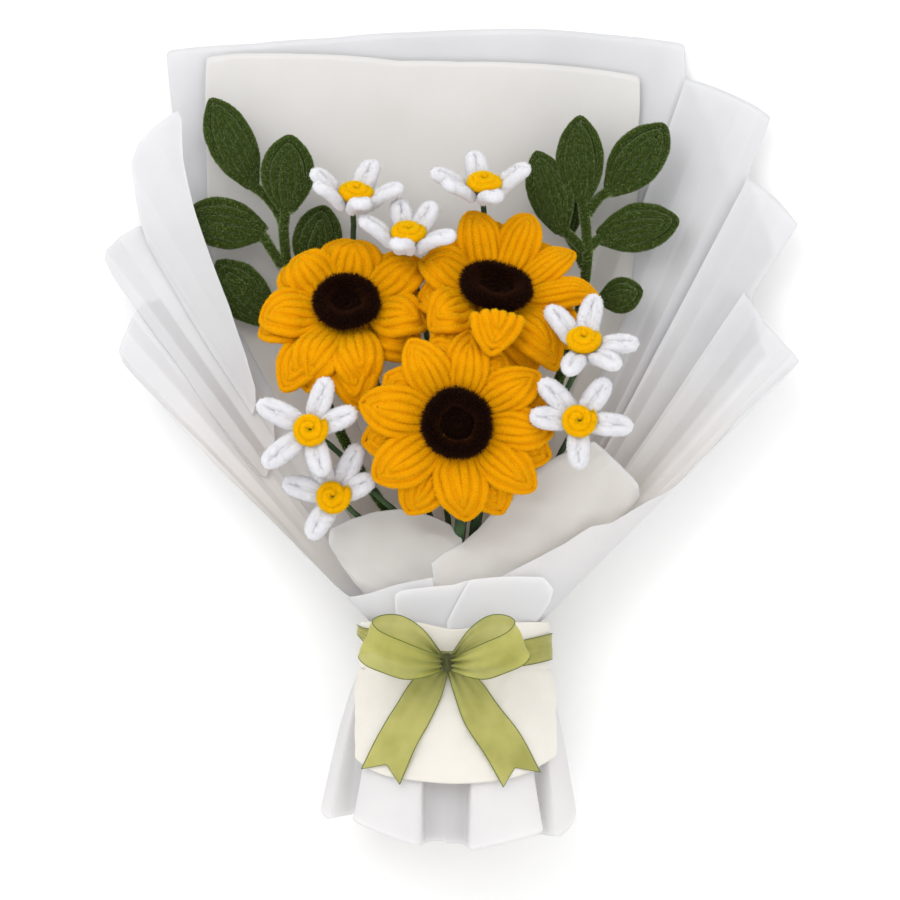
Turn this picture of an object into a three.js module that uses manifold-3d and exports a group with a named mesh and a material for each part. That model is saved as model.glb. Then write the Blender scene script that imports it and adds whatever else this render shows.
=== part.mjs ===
// A bouquet of handmade chenille flowers in a white paper wrap, lying on its back.
//
// Millimetres. +X is to the right, +Y runs from the cut stems to the flower heads, and +Z
// is up, away from the surface that the wrap lies on. The origin is on that surface, under
// the middle of the bouquet.

import * as THREE from 'three';
import { mergeVertices } from 'three/addons/utils/BufferGeometryUtils.js';
import Module from 'manifold-3d';

const wasm = await Module();
wasm.setup();

// ---------------------------------------------------------------- driving dimensions

// The waist, where the ribbon gathers the paper: an ellipse across the Y axis.
const WAIST = { y: -95, z: 44, halfWidth: 46.5, halfDepth: 32 };
const PAPER = 0.8;
const LAYER = 1.5;

// The open cone of paper above the waist.
const CONE = {
  sideLean: 45, // degrees from +Y that the paper leans at the two sides
  leanPower: 1.2,
  flatAngle: 25, // half angle of the back that lies flat on the surface, degrees
  sideHeight: 47,
  frontRise: 24,
  openingReach: 70, // by this reach from the waist the cone has its open depth
  waveHeight: 1.6,
};

// The skirt of paper below the ribbon.
const SKIRT = {
  top: -95.6,
  flareFrom: -115,
  hem: -200,
  hemStep: 5, // how much further the flutes hang than the folds between them
  leftRise: 15, // how much shorter the skirt is cut at each side than in front
  rightRise: 9,
  backRise: 10,
  halfWidth: 61,
  halfDepth: 36,
  z: 39.5,
  shift: -3,
  fluteDepth: 6,
  flutes: [18, 62, 120, 172, 212, 245, 295, 330],
  fluteHalfAngle: 19,
};

const CUFF = { top: -91, dip: 3.5, bottom: -155, smile: 16, halfWidth: 50, clearance: 0.9 };
const BAND = { top: -94.5, bottom: -114, clearance: 2.4 };
const PADDING = { top: -84, bottom: -112, layer: 10, holeWidth: 12.6, holeDepth: 11, holeZ: 42.5 };

const SUNFLOWER = {
  discRadius: 18.5,
  discHeight: 6.5,
  hubRadius: 14.5,
  petalRoot: 12.2,
  petalHalfWidth: 13,
  petalThickness: 4.6,
  stemRadius: 3,
};
const DAISY = {
  centreRadius: 8,
  centreHeight: 6,
  petalRoot: 5.4,
  petalHalfWidth: 7,
  petalThickness: 4.4,
  stemRadius: 1.5,
};
const LEAF = { thickness: 4.6, stemRadius: 3 };
const GAP = 0.3;
const FINEST = 0.12; // detail smaller than this is left out of fused solids
const BUNDLE = { top: -70, bottom: -116, z: 44 };
const STEM_STEP = 22;

const COLOURS = {
  yellow: { color: 0xf2ab0c, roughness: 0.95 },
  brown: { color: 0x2a1210, roughness: 0.95 },
  white: { color: 0xf1f0f2, roughness: 0.95 },
  green: { color: 0x3b6432, roughness: 0.95 },
  stem: { color: 0x2f4f26, roughness: 0.8 },
  paper: { color: 0xe6e6ea, roughness: 0.7 },
  liner: { color: 0xdedad4, roughness: 0.75 },
  tissue: { color: 0xf1ede4, roughness: 0.8 },
  ribbon: { color: 0xb0b85a, roughness: 0.6 },
};

const MATERIALS = {};
for (const [name, look] of Object.entries(COLOURS)) {
  MATERIALS[name] = new THREE.MeshStandardMaterial({ ...look, metalness: 0 });
}

const { lerp, clamp, smoothstep, degToRad } = THREE.MathUtils;
const vector = (x, y, z) => new THREE.Vector3(x, y, z);
const cosine = (angle) => Math.cos(degToRad(angle));
const sine = (angle) => Math.sin(degToRad(angle));

// ---------------------------------------------------------------- closed surfaces

// A closed geometry from points and triangles, with its faces turned outwards.
function closedGeometry(points, triangles) {
  let volume = 0;
  for (const [a, b, c] of triangles) {
    volume += points[a].dot(points[b].clone().cross(points[c]));
  }
  const outward = volume > 0 ? triangles : triangles.map(([a, b, c]) => [a, c, b]);
  const geometry = new THREE.BufferGeometry().setFromPoints(points);
  geometry.setIndex(outward.flat());
  return geometry;
}

// A thin plate on a grid: place(column, row, side) gives its point on side 0 or 1. Both
// faces are split into triangles alike. A closed plate joins its last column to its first.
function plate(columns, rows, place, closed = false) {
  const across = closed ? columns : columns + 1;
  const points = [];
  for (let side = 0; side < 2; side++) {
    for (let column = 0; column < across; column++) {
      for (let row = 0; row <= rows; row++) {
        points.push(place(column, row, side));
      }
    }
  }
  const at = (column, row, side) => (side * across + (column % across)) * (rows + 1) + row;
  const triangles = [];
  const quad = (a, b, c, d) => triangles.push([a, b, c], [a, c, d]);
  for (let column = 0; column < columns; column++) {
    for (let row = 0; row < rows; row++) {
      const ring = (side) => [
        at(column, row, side),
        at(column + 1, row, side),
        at(column + 1, row + 1, side),
        at(column, row + 1, side),
      ];
      const [a, b, c, d] = ring(0);
      quad(a, b, c, d);
      const [e, f, g, h] = ring(1);
      triangles.push([e, g, f], [e, h, g]);
    }
    quad(at(column + 1, 0, 0), at(column, 0, 0), at(column, 0, 1), at(column + 1, 0, 1));
    quad(at(column, rows, 0), at(column + 1, rows, 0), at(column + 1, rows, 1), at(column, rows, 1));
  }
  if (!closed) {
    for (let row = 0; row < rows; row++) {
      quad(at(0, row, 0), at(0, row + 1, 0), at(0, row + 1, 1), at(0, row, 1));
      const last = columns;
      quad(at(last, row + 1, 0), at(last, row, 0), at(last, row, 1), at(last, row + 1, 1));
    }
  }
  return closedGeometry(points, triangles);
}

// A solid through rings of equal length, closed by a fan at each end.
function loft(rings) {
  const size = rings[0].length;
  const points = rings.flat();
  const triangles = [];
  for (let ring = 0; ring + 1 < rings.length; ring++) {
    for (let i = 0; i < size; i++) {
      const a = ring * size + i;
      const b = ring * size + ((i + 1) % size);
      triangles.push([a, b, b + size], [a, b + size, a + size]);
    }
  }
  const middle = (ring) => ring.reduce((sum, p) => sum.add(p), vector(0, 0, 0)).divideScalar(size);
  const last = (rings.length - 1) * size;
  points.push(middle(rings[0]), middle(rings[rings.length - 1]));
  for (let i = 0; i < size; i++) {
    const next = (i + 1) % size;
    triangles.push([next, i, points.length - 2], [last + i, last + next, points.length - 1]);
  }
  return closedGeometry(points, triangles);
}

// A point moved off a surface along its normal. surface(a, b) gives a point, and step is
// the distance in a and b over which the slope is taken.
function offSurface(surface, a, b, distance, step = 0.4) {
  const alongA = surface(a + step, b).sub(surface(a - step, b));
  const alongB = surface(a, b + step).sub(surface(a, b - step));
  const normal = alongA.cross(alongB).normalize();
  return surface(a, b).addScaledVector(normal, distance);
}

// ---------------------------------------------------------------- solids

function toSolid(geometry) {
  const bare = geometry.clone();
  bare.deleteAttribute('normal');
  bare.deleteAttribute('uv');
  const merged = mergeVertices(bare, 1e-4);
  return new wasm.Manifold(
    new wasm.Mesh({
      numProp: 3,
      vertProperties: new Float32Array(merged.attributes.position.array),
      triVerts: new Uint32Array(merged.index.array),
    }),
  );
}

function fuse(geometries) {
  const solids = geometries.map(toSolid);
  const whole = solids.reduce((sum, solid) => sum.add(solid));
  const mesh = whole.simplify(FINEST).getMesh();
  const geometry = new THREE.BufferGeometry();
  geometry.setAttribute('position', new THREE.BufferAttribute(mesh.vertProperties, 3));
  geometry.setIndex(new THREE.BufferAttribute(mesh.triVerts, 1));
  return geometry;
}

function named(name, geometry, material) {
  const mesh = new THREE.Mesh(geometry, MATERIALS[material]);
  mesh.name = name;
  return mesh;
}

// A round rod along a smooth curve through the points.
function rod(points, radius, sides, steps) {
  const section = new THREE.Shape();
  for (let i = 0; i < sides; i++) {
    const angle = (360 * i) / sides;
    const x = radius * cosine(angle);
    const y = radius * sine(angle);
    if (i === 0) section.moveTo(x, y);
    else section.lineTo(x, y);
  }
  section.closePath();
  const extrudePath = new THREE.CatmullRomCurve3(points, false, 'centripetal');
  return new THREE.ExtrudeGeometry(section, { steps, extrudePath, bevelEnabled: false });
}

// ---------------------------------------------------------------- the paper cone

// The outermost face of the cone. angle goes round the waist: 0 is the right side, -90
// the back, 90 the front and -180 the left side. reach is the distance from the waist,
// as seen from above.
function coneFace(angle, reach) {
  const lean = CONE.sideLean * Math.sign(cosine(angle)) * Math.abs(cosine(angle)) ** CONE.leanPower;
  const fromBack = Math.abs(angle + 90);
  const atSide = (fromBack - CONE.flatAngle) / (90 - CONE.flatAngle);
  const isFront = sine(angle) > 0;
  const openZ = isFront
    ? CONE.sideHeight + CONE.frontRise * sine(angle)
    : CONE.sideHeight * clamp(atSide, 0, 1);
  const waistZ = WAIST.z + WAIST.halfDepth * sine(angle);
  const opening = smoothstep(reach, 0, CONE.openingReach);
  const waves = isFront ? 0 : clamp(atSide, 0, 0.5) * sine(angle * 11) * smoothstep(reach, 60, 220);
  return vector(
    WAIST.halfWidth * cosine(angle) + reach * sine(lean),
    WAIST.y + reach * cosine(lean),
    lerp(waistZ, openZ, opening) + 2 * CONE.waveHeight * waves,
  );
}

// How far a sheet lies inside the outermost face. The liner comes close to the back
// sheet above the waist, where no side sheet lies between them.
function sheetDepth(layer, reach, settlesTo) {
  const settled = smoothstep(reach, 30, 150);
  return LAYER * lerp(layer, settlesTo ?? layer, settled);
}

// A sheet of the wrap. Its rays are [angle, first reach, last reach, last lift, first lift]:
// the paper lies along each ray between the two reaches, lifted off there by the lifts.
function wrapSheet({ layer, settlesTo, rays, rows }) {
  return plate(rays.length - 1, rows, (column, row, side) => {
    const [angle, from, to, lastLift = 0, firstLift = 0] = rays[column];
    const along = row / rows;
    const reach = lerp(from, to, along);
    const lift = lerp(firstLift, lastLift, along ** 0.7);
    const depth = sheetDepth(layer, reach, settlesTo) + lift + PAPER * side;
    return offSurface(coneFace, angle, reach, depth);
  });
}

// The sheets from the outside in. Angles are in degrees, and reaches in millimetres.
const SHEETS = {
  wrap_back_sheet: {
    layer: 0,
    rows: 6,
    rays: [
      [-141, 0, 200],
      [-131.2, 0, 231],
      [-126.8, 0, 270],
      [-123.7, 0, 313],
      [-114.6, 0, 304.6],
      [-105.8, 0, 300.3],
      [-96, 0, 299.6],
      [-87, 0, 300.5],
      [-79, 0, 302.5],
      [-71.8, 0, 304],
      [-62.4, 0, 308],
      [-61, 0, 291.5],
      [-56, 0, 272],
      [-46, 0, 228],
    ],
  },
  wrap_right_upper_fold: {
    layer: 1,
    rows: 6,
    rays: [
      [-61, 0, 291.5],
      [-58, 0, 291.5],
      [-55.9, 0, 291],
      [-52, 0, 289.4],
      [-50, 0, 286],
      [-48.8, 0, 256],
      [-44, 0, 240],
      [-38, 0, 226],
    ],
  },
  wrap_right_middle_fold: {
    layer: 2,
    rows: 6,
    rays: [
      [-48.5, 0, 254.5, 2.5],
      [-46, 0, 252.5, 0.7],
      [-43, 0, 250.3],
      [-40, 0, 246.5],
      [-38, 0, 242.5],
      [-37, 0, 201],
      [-31, 0, 187],
      [-24, 0, 178],
    ],
  },
  wrap_right_lower_fold: {
    layer: 3,
    rows: 6,
    rays: [
      [-38.5, 0, 201, 2.5],
      [-35, 0, 197, 0.7],
      [-30.3, 0, 192],
      [-22, 0, 188],
      [-13, 0, 183],
      [-6, 0, 181.5],
      [-2, 0, 150],
      [3, 0, 125],
      [9, 0, 96],
      [20, 0, 84],
      [30, 0, 66],
      [38.5, 0, 61],
      [45, 0, 49],
      [54, 0, 38.8],
      [66.5, 0, 28],
      [80, 0, 21.5],
      [96, 0, 18],
      [112, 0, 17],
    ],
  },
  wrap_left_lower_fold: {
    layer: 4,
    rows: 6,
    rays: [
      [-143, 0, 198],
      [-148, 0, 200],
      [-154.1, 0, 192],
      [-160, 0, 184],
      [-164, 0, 177.5],
      [-167.5, 0, 163],
      [-171.5, 0, 130],
      [-175.7, 0, 97],
      [-179, 0, 60],
      [-184, 0, 24],
      [-196, 0, 17],
      [-209.6, 0, 18],
      [-224, 0, 20],
      [-242, 0, 24],
      [-260, 0, 27],
    ],
  },
  wrap_left_middle_fold: {
    layer: 5,
    rows: 5,
    rays: [
      [-153.2, 96, 100],
      [-150, 93, 161],
      [-148, 93, 205],
      [-147.3, 94, 227],
      [-145.6, 95, 232],
      [-141.6, 101, 235.5],
      [-138, 110, 232],
      [-135, 121, 170, 1, 1],
    ],
  },
  wrap_left_upper_fold: {
    layer: 6,
    rows: 6,
    rays: [
      [-140.4, 125, 160],
      [-139.2, 127, 226, 1, 1],
      [-137.6, 130, 238, 3, 3],
      [-135.6, 137, 250, 7, 7],
      [-134, 153, 265, 11, 11],
      [-132.6, 180, 271, 14, 14],
      [-130.4, 231, 276, 16, 16],
      [-128.6, 257, 278.5, 16, 16],
      [-126.2, 278, 282, 16, 16],
    ],
  },
  tissue_right: {
    layer: 7,
    rows: 4,
    rays: [
      [20.2, 0, 82],
      [29, 0, 89],
      [37, 0, 93],
      [44, 0, 97],
      [52.4, 0, 103],
      [60.4, 0, 91.4],
      [64.4, 0, 83.4],
      [71.3, 0, 67.1],
      [80, 0, 51.5],
      [86, 0, 44.5],
      [94.2, 0, 39.8],
      [100.5, 0, 34.5],
    ],
  },
  tissue_left: {
    layer: 8,
    rows: 4,
    rays: [
      [86, 0, 46.5],
      [91.3, 0, 53.5],
      [98.7, 0, 57.9],
      [109, 0, 62],
      [118.4, 0, 61.9],
      [128, 0, 60],
      [138.6, 0, 57],
      [145, 0, 50],
      [151, 0, 41],
      [156, 0, 32],
      [158, 0, 22],
    ],
  },
  wrap_liner: {
    layer: 9,
    settlesTo: 2,
    rows: 6,
    rays: [
      [-131.5, 0, 178],
      [-129.4, 0, 211],
      [-124.4, 0, 254],
      [-120.2, 0, 299],
      [-117, 0, 300.5],
      [-109.5, 0, 292.7],
      [-98, 0, 285.5],
      [-89, 0, 284.3],
      [-80.5, 0, 284.9],
      [-73, 0, 286],
      [-66.3, 0, 287],
      [-63.8, 0, 250.5],
      [-60, 0, 204],
      [-57, 0, 170],
    ],
  },
  collar_left: {
    layer: 2,
    rows: 2,
    rays: [
      [125, 0, 8],
      [120.5, 0, 18.5],
      [117, 0, 20.5],
      [104, 0, 21.8],
      [90.3, 0, 22.8],
      [81.8, 0, 25.3],
      [78, 0, 20],
    ],
  },
  collar_right: {
    layer: 1,
    rows: 2,
    rays: [
      [30.7, 0, 6],
      [33, 0, 17],
      [37, 0, 24],
      [47.7, 0, 29.7],
      [66.4, 0, 27.7],
      [82.1, 0, 25.3],
      [88, 0, 14],
      [94, 0, 4],
    ],
  },
};

// ---------------------------------------------------------------- below the ribbon

function flare(y) {
  return clamp((SKIRT.flareFrom - y) / (SKIRT.flareFrom - SKIRT.hem), 0, 1) ** 0.7;
}

// How far the skirt stands out at an angle: 1 on a flute, 0 in the fold between two.
function fluteAt(angle) {
  const turns = SKIRT.flutes.map((flute) => Math.abs(((angle - flute + 540) % 360) - 180));
  const nearest = Math.min(...turns) / SKIRT.fluteHalfAngle;
  return 1 - smoothstep(nearest, 0.55, 1.15);
}

// The skirt's outer face, or with flute 1 the plain envelope round all its flutes.
function skirtFace(angle, y, flute = fluteAt(angle)) {
  const open = flare(y);
  const out = SKIRT.fluteDepth * open * flute;
  return vector(
    SKIRT.shift * open + (lerp(WAIST.halfWidth, SKIRT.halfWidth, open) + out) * cosine(angle),
    y,
    lerp(WAIST.z, SKIRT.z, open) + (lerp(WAIST.halfDepth, SKIRT.halfDepth, open) + out) * sine(angle),
  );
}

// How much shorter the skirt is cut at an angle than in front.
function hemRise(angle) {
  const aside = 1 - sine(angle);
  const left = SKIRT.leftRise * smoothstep(aside, 0.03, 0.34);
  const right = SKIRT.rightRise * smoothstep(aside, 0.03, 0.5);
  const side = lerp(left, right, smoothstep(cosine(angle), -0.3, 0.3));
  return side + SKIRT.backRise * smoothstep(aside, 1, 1.5);
}

// Rows from a top edge to a bottom edge, the first of them straight down to the flare.
function rowBelow(top, bottom, row, rows) {
  return row === 0 ? top : lerp(SKIRT.flareFrom, bottom, (row - 1) / (rows - 1));
}

function skirtGeometry() {
  const columns = 36;
  const rows = 4;
  return plate(
    columns,
    rows,
    (column, row, side) => {
      const angle = (360 * column) / columns;
      const hem = SKIRT.hem - SKIRT.hemStep * fluteAt(angle) + hemRise(angle);
      const y = rowBelow(SKIRT.top, hem, row, rows);
      return offSurface((a, b) => skirtFace(a, b), angle, y, PAPER * side);
    },
    true,
  );
}

// The front envelope of the skirt as a height over x and y.
function frontZ(x, y) {
  const side = skirtFace(0, y, 1);
  const front = skirtFace(90, y, 1);
  const middle = SKIRT.shift * flare(y);
  const centreZ = side.z;
  const share = clamp((x - middle) / (side.x - middle), -0.995, 0.995);
  return centreZ + (front.z - centreZ) * Math.sqrt(1 - share * share);
}

function cuffGeometry() {
  const columns = 12;
  const rows = 4;
  return plate(columns, rows, (column, row, side) => {
    const across = (2 * column) / columns - 1;
    const spread = Math.sin((Math.PI / 2) * across);
    const top = CUFF.top - CUFF.dip * (1 - smoothstep(Math.abs(across), 0, 0.3));
    const bottom = CUFF.bottom - CUFF.smile * Math.sqrt(1 - 0.96 * spread * spread);
    const y = rowBelow(top, bottom, row, rows);
    const halfWidth = Math.min(CUFF.halfWidth, 0.985 * skirtFace(0, y, 1).x + 0.8);
    const x = halfWidth * spread;
    const face = (a, b) => vector(a, b, frontZ(a, b));
    return offSurface(face, x, y, CUFF.clearance + PAPER * side);
  });
}

function ellipseRing(top, bottom, columns, radiusAt) {
  return plate(
    columns,
    1,
    (column, row, side) => {
      const angle = (360 * column) / columns;
      const [halfWidth, halfDepth, z] = radiusAt(side);
      return vector(halfWidth * cosine(angle), row ? bottom : top, z + halfDepth * sine(angle));
    },
    true,
  );
}

function bandGeometry() {
  return ellipseRing(BAND.top, BAND.bottom, 28, (side) => {
    const out = BAND.clearance + PAPER * side;
    return [WAIST.halfWidth + out, WAIST.halfDepth + out, WAIST.z];
  });
}

function paddingGeometry() {
  const inset = PADDING.layer * LAYER;
  return ellipseRing(PADDING.top, PADDING.bottom, 22, (side) =>
    side
      ? [WAIST.halfWidth - inset, WAIST.halfDepth - inset, WAIST.z]
      : [PADDING.holeWidth, PADDING.holeDepth, PADDING.holeZ],
  );
}

// ---------------------------------------------------------------- the bow

const KNOT = { x: -3.2, y: -111, z: 86, radius: 5.5 };

// A strip of ribbon through stations [x, y, z, half width x, half width y, half width z].
function ribbonStrip(stations, notch = 0) {
  const columns = 2;
  return plate(columns, stations.length - 1, (column, row, side) => {
    const [x, y, z, wx, wy, wz] = stations[row];
    const across = column - 1;
    const point = vector(x + wx * across, y + wy * across, z + wz * across);
    const before = stations[Math.max(row - 1, 0)];
    const after = stations[Math.min(row + 1, stations.length - 1)];
    const along = vector(after[0] - before[0], after[1] - before[1], after[2] - before[2]);
    if (row === stations.length - 1 && column === 1) {
      point.addScaledVector(along.clone().normalize(), -notch);
    }
    const normal = along.cross(vector(wx, wy, wz)).normalize();
    return point.addScaledVector(normal, PAPER * (side - 0.5));
  });
}

function loopStations(side, size) {
  const path = [
    [3, 1.5, -2, 0, 3.5, 0],
    [12, 8.5, -2, 0, 8, 0],
    [23, 13.5, 0.5, -1, 9.5, 0],
    [33, 14.5, 4, -2, 9.2, 0],
    [40.5, 12.5, 8.5, -3.6, 8.6, 0],
    [38, 8, 13.5, -3, 9, 1],
    [31, 4.5, 15.5, -1, 9.4, 1.5],
    [21, 1, 15, 0, 9.2, 1],
    [11, -0.5, 10.5, 0, 6.5, 0.5],
    [3, -0.5, 4, 0, 3.5, 0],
  ];
  return path.map(([x, y, z, wx, wy, wz]) => [
    KNOT.x + side * size * x,
    KNOT.y + y,
    KNOT.z + z,
    side * wx,
    wy,
    wz,
  ]);
}

// A tail lies on the cuff: its stations are [x, y, half width x, half width y].
function tailStations(path) {
  const above = 3.2;
  return path.map(([x, y, wx, wy], i) => {
    const z = frontZ(x, y) + above + (i === 0 ? 3 : 0);
    const tilt = (frontZ(x + wx, y + wy) - frontZ(x - wx, y - wy)) / 2;
    return [x, y, z, wx, wy, tilt];
  });
}

const TAILS = {
  left: [
    [-4.5, -114, 3, -1],
    [-14, -124, 8, -5],
    [-22.5, -136, 9.6, -4.2],
    [-30, -149, 9.6, -4],
    [-36.5, -168, 9.6, -3.8],
  ],
  right: [
    [-1.5, -114, 3, 1],
    [5.5, -123.5, 7, 3],
    [13.5, -137, 9, 5],
    [24, -152, 9, 6],
    [34, -169.5, 9.2, 3.6],
  ],
};

function bowGeometry() {
  const knot = new THREE.SphereGeometry(KNOT.radius, 10, 6);
  knot.scale(0.85, 1.35, 1);
  knot.translate(KNOT.x, KNOT.y, KNOT.z);
  return fuse([
    knot,
    ribbonStrip(loopStations(-1, 1)),
    ribbonStrip(loopStations(1, 0.92)),
    ribbonStrip(tailStations(TAILS.left), 7),
    ribbonStrip(tailStations(TAILS.right), 7),
  ]);
}

// ---------------------------------------------------------------- petals and leaves

// A ribbed blade: strands side by side, seen as ribs with a groove between each two. It
// runs along +X from its root, and path(t) gives its middle as [x, z]; width(t) is its
// half width as a share of halfWidth.
function blade({ ribs, halfWidth, thickness, path, width, stations, flatPoints = 1 }) {
  const rings = stations.map((t) => {
    const [x, z] = path(t);
    const [ahead, aheadZ] = path(t + 0.01);
    const slope = Math.atan2(aheadZ - z, ahead - x);
    const half = halfWidth * width(t);
    const full = thickness * Math.min(1, 0.55 + 0.6 * width(t));
    const ring = [];
    for (let i = 0; i <= 2 * ribs; i++) {
      const across = i / ribs - 1;
      const crown = Math.sqrt(1 - 0.75 * across * across);
      const height = i % 2 ? full * 0.5 * crown : full * (i === 0 || i === 2 * ribs ? 0 : 0.16) * crown;
      ring.push([across * half, height]);
    }
    for (let i = flatPoints; i >= 1; i--) {
      const across = (2 * i) / (flatPoints + 1) - 1;
      ring.push([across * half, -0.5 * full * (1 - 0.4 * Math.abs(across))]);
    }
    return ring.map(([y, up]) => vector(x - up * Math.sin(slope), y, z + up * Math.cos(slope)));
  });
  return loft(rings);
}

function petalWidth(t) {
  return 0.35 + 0.65 * Math.sin(0.86 * Math.PI * t ** 1.5) - 0.26 * t ** 8;
}

// A sunflower petal rises over the disc's edge, arches and bends back at its tip.
function sunflowerPetal({ angle, reach, ribs, depth, droop, widen, crest }) {
  const from = SUNFLOWER.petalRoot;
  const clear = (SUNFLOWER.discRadius + 1 - from) / (reach - from);
  const plain = ribs > 3 ? [0, 0.36, 0.74, 1] : [0, 0.62, 1];
  const geometry = blade({
    ribs,
    halfWidth: SUNFLOWER.petalHalfWidth * widen,
    thickness: SUNFLOWER.petalThickness,
    path: (t) => {
      const out = Math.max(0, t - clear) / (1 - clear);
      const along = lerp(from, reach, t);
      if (crest) {
        const rise = crest.height * Math.sin((Math.PI / 2) * Math.min(out / crest.out, 1));
        const fall = droop * clamp((out - crest.out) / (1 - crest.out), 0, 1) ** 1.5;
        return [along, depth + rise - fall];
      }
      const climb = 7.5 * Math.sin(0.62 * Math.PI * smoothstep(out, 0, 1));
      return [along, depth + climb - droop * out * out];
    },
    width: petalWidth,
    stations: crest ? [0, clear, lerp(clear, 1, crest.out), 0.76, 1] : plain,
  });
  return geometry.rotateZ(degToRad(angle));
}

function daisyPetal(angle, reach, cup) {
  const geometry = blade({
    ribs: 2,
    halfWidth: DAISY.petalHalfWidth,
    thickness: DAISY.petalThickness,
    path: (t) => {
      const out = clamp((t - 0.2) / 0.8, 0, 1);
      return [lerp(DAISY.petalRoot, reach, t), -2.4 + cup * out - 0.35 * cup * out * out];
    },
    width: (t) => 0.45 + 0.55 * Math.sin(0.88 * Math.PI * t),
    stations: cup > 14 ? [0, 0.2, 0.6, 1] : [0, 0.55, 1],
  });
  return geometry.rotateZ(degToRad(angle));
}

// ---------------------------------------------------------------- blooms

// A coil of chenille: rings round a middle, each with its own crest, over a flat base.
function coil(radius, height, crests, rings, segments) {
  const profile = [new THREE.Vector2(0, 0), new THREE.Vector2(radius * 0.93, 0)];
  const points = 2 * rings;
  for (let i = 0; i < points; i++) {
    const share = 1 - i / points;
    const rise = crests(share);
    const groove = i % 2 ? 1 : 0.84;
    profile.push(new THREE.Vector2(radius * share, height * rise * groove));
  }
  profile.push(new THREE.Vector2(0, height * crests(0)));
  return new THREE.LatheGeometry(profile, segments).rotateX(Math.PI / 2);
}

function sunflowerDisc() {
  const bowl = (share) => 0.42 + 0.58 * Math.sin(Math.PI * clamp(share, 0, 1) ** 1.6);
  return coil(SUNFLOWER.discRadius, SUNFLOWER.discHeight, bowl, 4, 14);
}

function daisyCentre() {
  const dome = (share) => Math.sqrt(1 - 0.8 * share * share);
  return coil(DAISY.centreRadius, DAISY.centreHeight, dome, 2, 10);
}

function hub(radius, top, bottom, segments) {
  const height = top - bottom;
  const cylinder = new THREE.CylinderGeometry(radius, radius * 0.8, height, segments);
  return cylinder.rotateX(Math.PI / 2).translate(0, 0, bottom + height / 2);
}

// Each bloom: where its middle is and how far it tilts towards +Y and +X. Its petals are
// [angle, reach, droop], in a front layer and a back layer. One petal stands up in front of
// its disc: it also has a crest, with its height and how far out it is.
const SUNFLOWERS = [
  {
    name: 'low',
    at: [1.8, 8, 98],
    up: 0,
    side: 0,
    front: [
      [-41, 49, 14],
      [-88, 47, 15],
      [-144, 48, 14],
      [169, 48, 14],
      [118, 46, 13],
      [81, 45, 20],
      [34, 46, 14],
      [-3, 46, 15],
    ],
    back: [
      [-64, 47, 15],
      [-116, 48, 15],
      [-166, 45, 15],
      [148, 40, 10],
      [103, 40, 10],
      [60, 38, 8],
      [20, 45, 15],
      [-20, 46, 15],
    ],
  },
  {
    name: 'left',
    at: [-53.5, 68, 69],
    up: 30,
    side: -6,
    front: [
      [-9, 38.4, 15],
      [36, 46, 12],
      [80, 38, 8],
      [132, 40, 9],
      [181, 43, 13],
      [239, 43, 21],
      [281, 42, 23],
    ],
    back: [
      [5, 36, 12],
      [50, 38, 10],
      [95, 42, 8],
      [138, 42, 10],
      [182, 43, 14],
      [227, 47, 14],
      [274, 46, 16],
      [325, 38, 18],
    ],
  },
  {
    name: 'right',
    at: [21.5, 75, 72],
    up: 33,
    side: 8,
    front: [
      [5, 51, 10],
      [34, 49, 9],
      [69, 49.5, 3],
      [106, 48, 5],
      [152, 40, 10],
      [205, 36, 15],
      [268, 39, 12, { height: 19.5, out: 0.3 }],
      [316, 45, 20],
    ],
    back: [
      [50, 46, 10],
      [88, 46, 8],
      [130, 42, 10],
      [181, 33, 12],
      [232, 42, 18],
      [294, 40, 20],
      [342, 46, 16],
    ],
  },
];

// The daisies' petals are [angle, reach]; cup is how far they close up.
const DAISIES = [
  {
    at: [-49.5, 120.5, 54],
    up: 58,
    side: 4,
    cup: 20,
    petals: [[-78, 23], [-10, 24], [68, 22], [164, 23], [202, 22]],
  },
  {
    at: [-23, 100.5, 66],
    up: 55,
    side: 0,
    cup: 20,
    petals: [[-100, 22], [-32, 27], [50, 21], [102, 20], [180, 24]],
  },
  {
    at: [14.7, 125.5, 54],
    up: 58,
    side: 0,
    cup: 16,
    petals: [[-75, 24], [14, 24], [102, 22], [176, 26], [210, 22]],
  },
  {
    at: [64.2, 47.5, 88],
    up: 42,
    side: 0,
    cup: 12,
    petals: [[128, 26], [78, 28], [-7, 28], [-47, 27], [-108, 25]],
  },
  {
    at: [62, 9.5, 97],
    up: 4,
    side: 0,
    cup: 4,
    petals: [[130, 27], [53, 25], [-8, 27], [-90, 24], [176, 24]],
  },
  {
    at: [-71.5, 5, 84],
    up: 4,
    side: -4,
    cup: 4,
    petals: [[151, 29], [70, 27], [20, 25], [-73, 24], [217, 29]],
  },
  {
    at: [-59.5, -28.5, 69],
    up: 4,
    side: -14,
    cup: 4,
    petals: [[23, 22], [62, 29], [115, 26], [164, 27], [238, 24]],
  },
];

function bloomGroup({ at, up, side }) {
  const group = new THREE.Group();
  group.position.set(...at);
  group.rotation.set(-degToRad(up), degToRad(side), 0);
  return group;
}

const bouquet = new THREE.Group();

// A petal is as wide as its neighbours in the same layer leave room for.
function petalLayer(petals, ribs, depth) {
  return petals.map(([angle, reach, droop, crest], i) => {
    const [before] = petals.at(i - 1);
    const [after] = petals[(i + 1) % petals.length];
    const turnTo = (other) => Math.abs(((other - angle + 540) % 360) - 180);
    const widen = Math.min(1, Math.min(turnTo(before), turnTo(after)) / 43);
    return sunflowerPetal({ angle, reach, ribs, depth, droop, widen, crest });
  });
}

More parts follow.
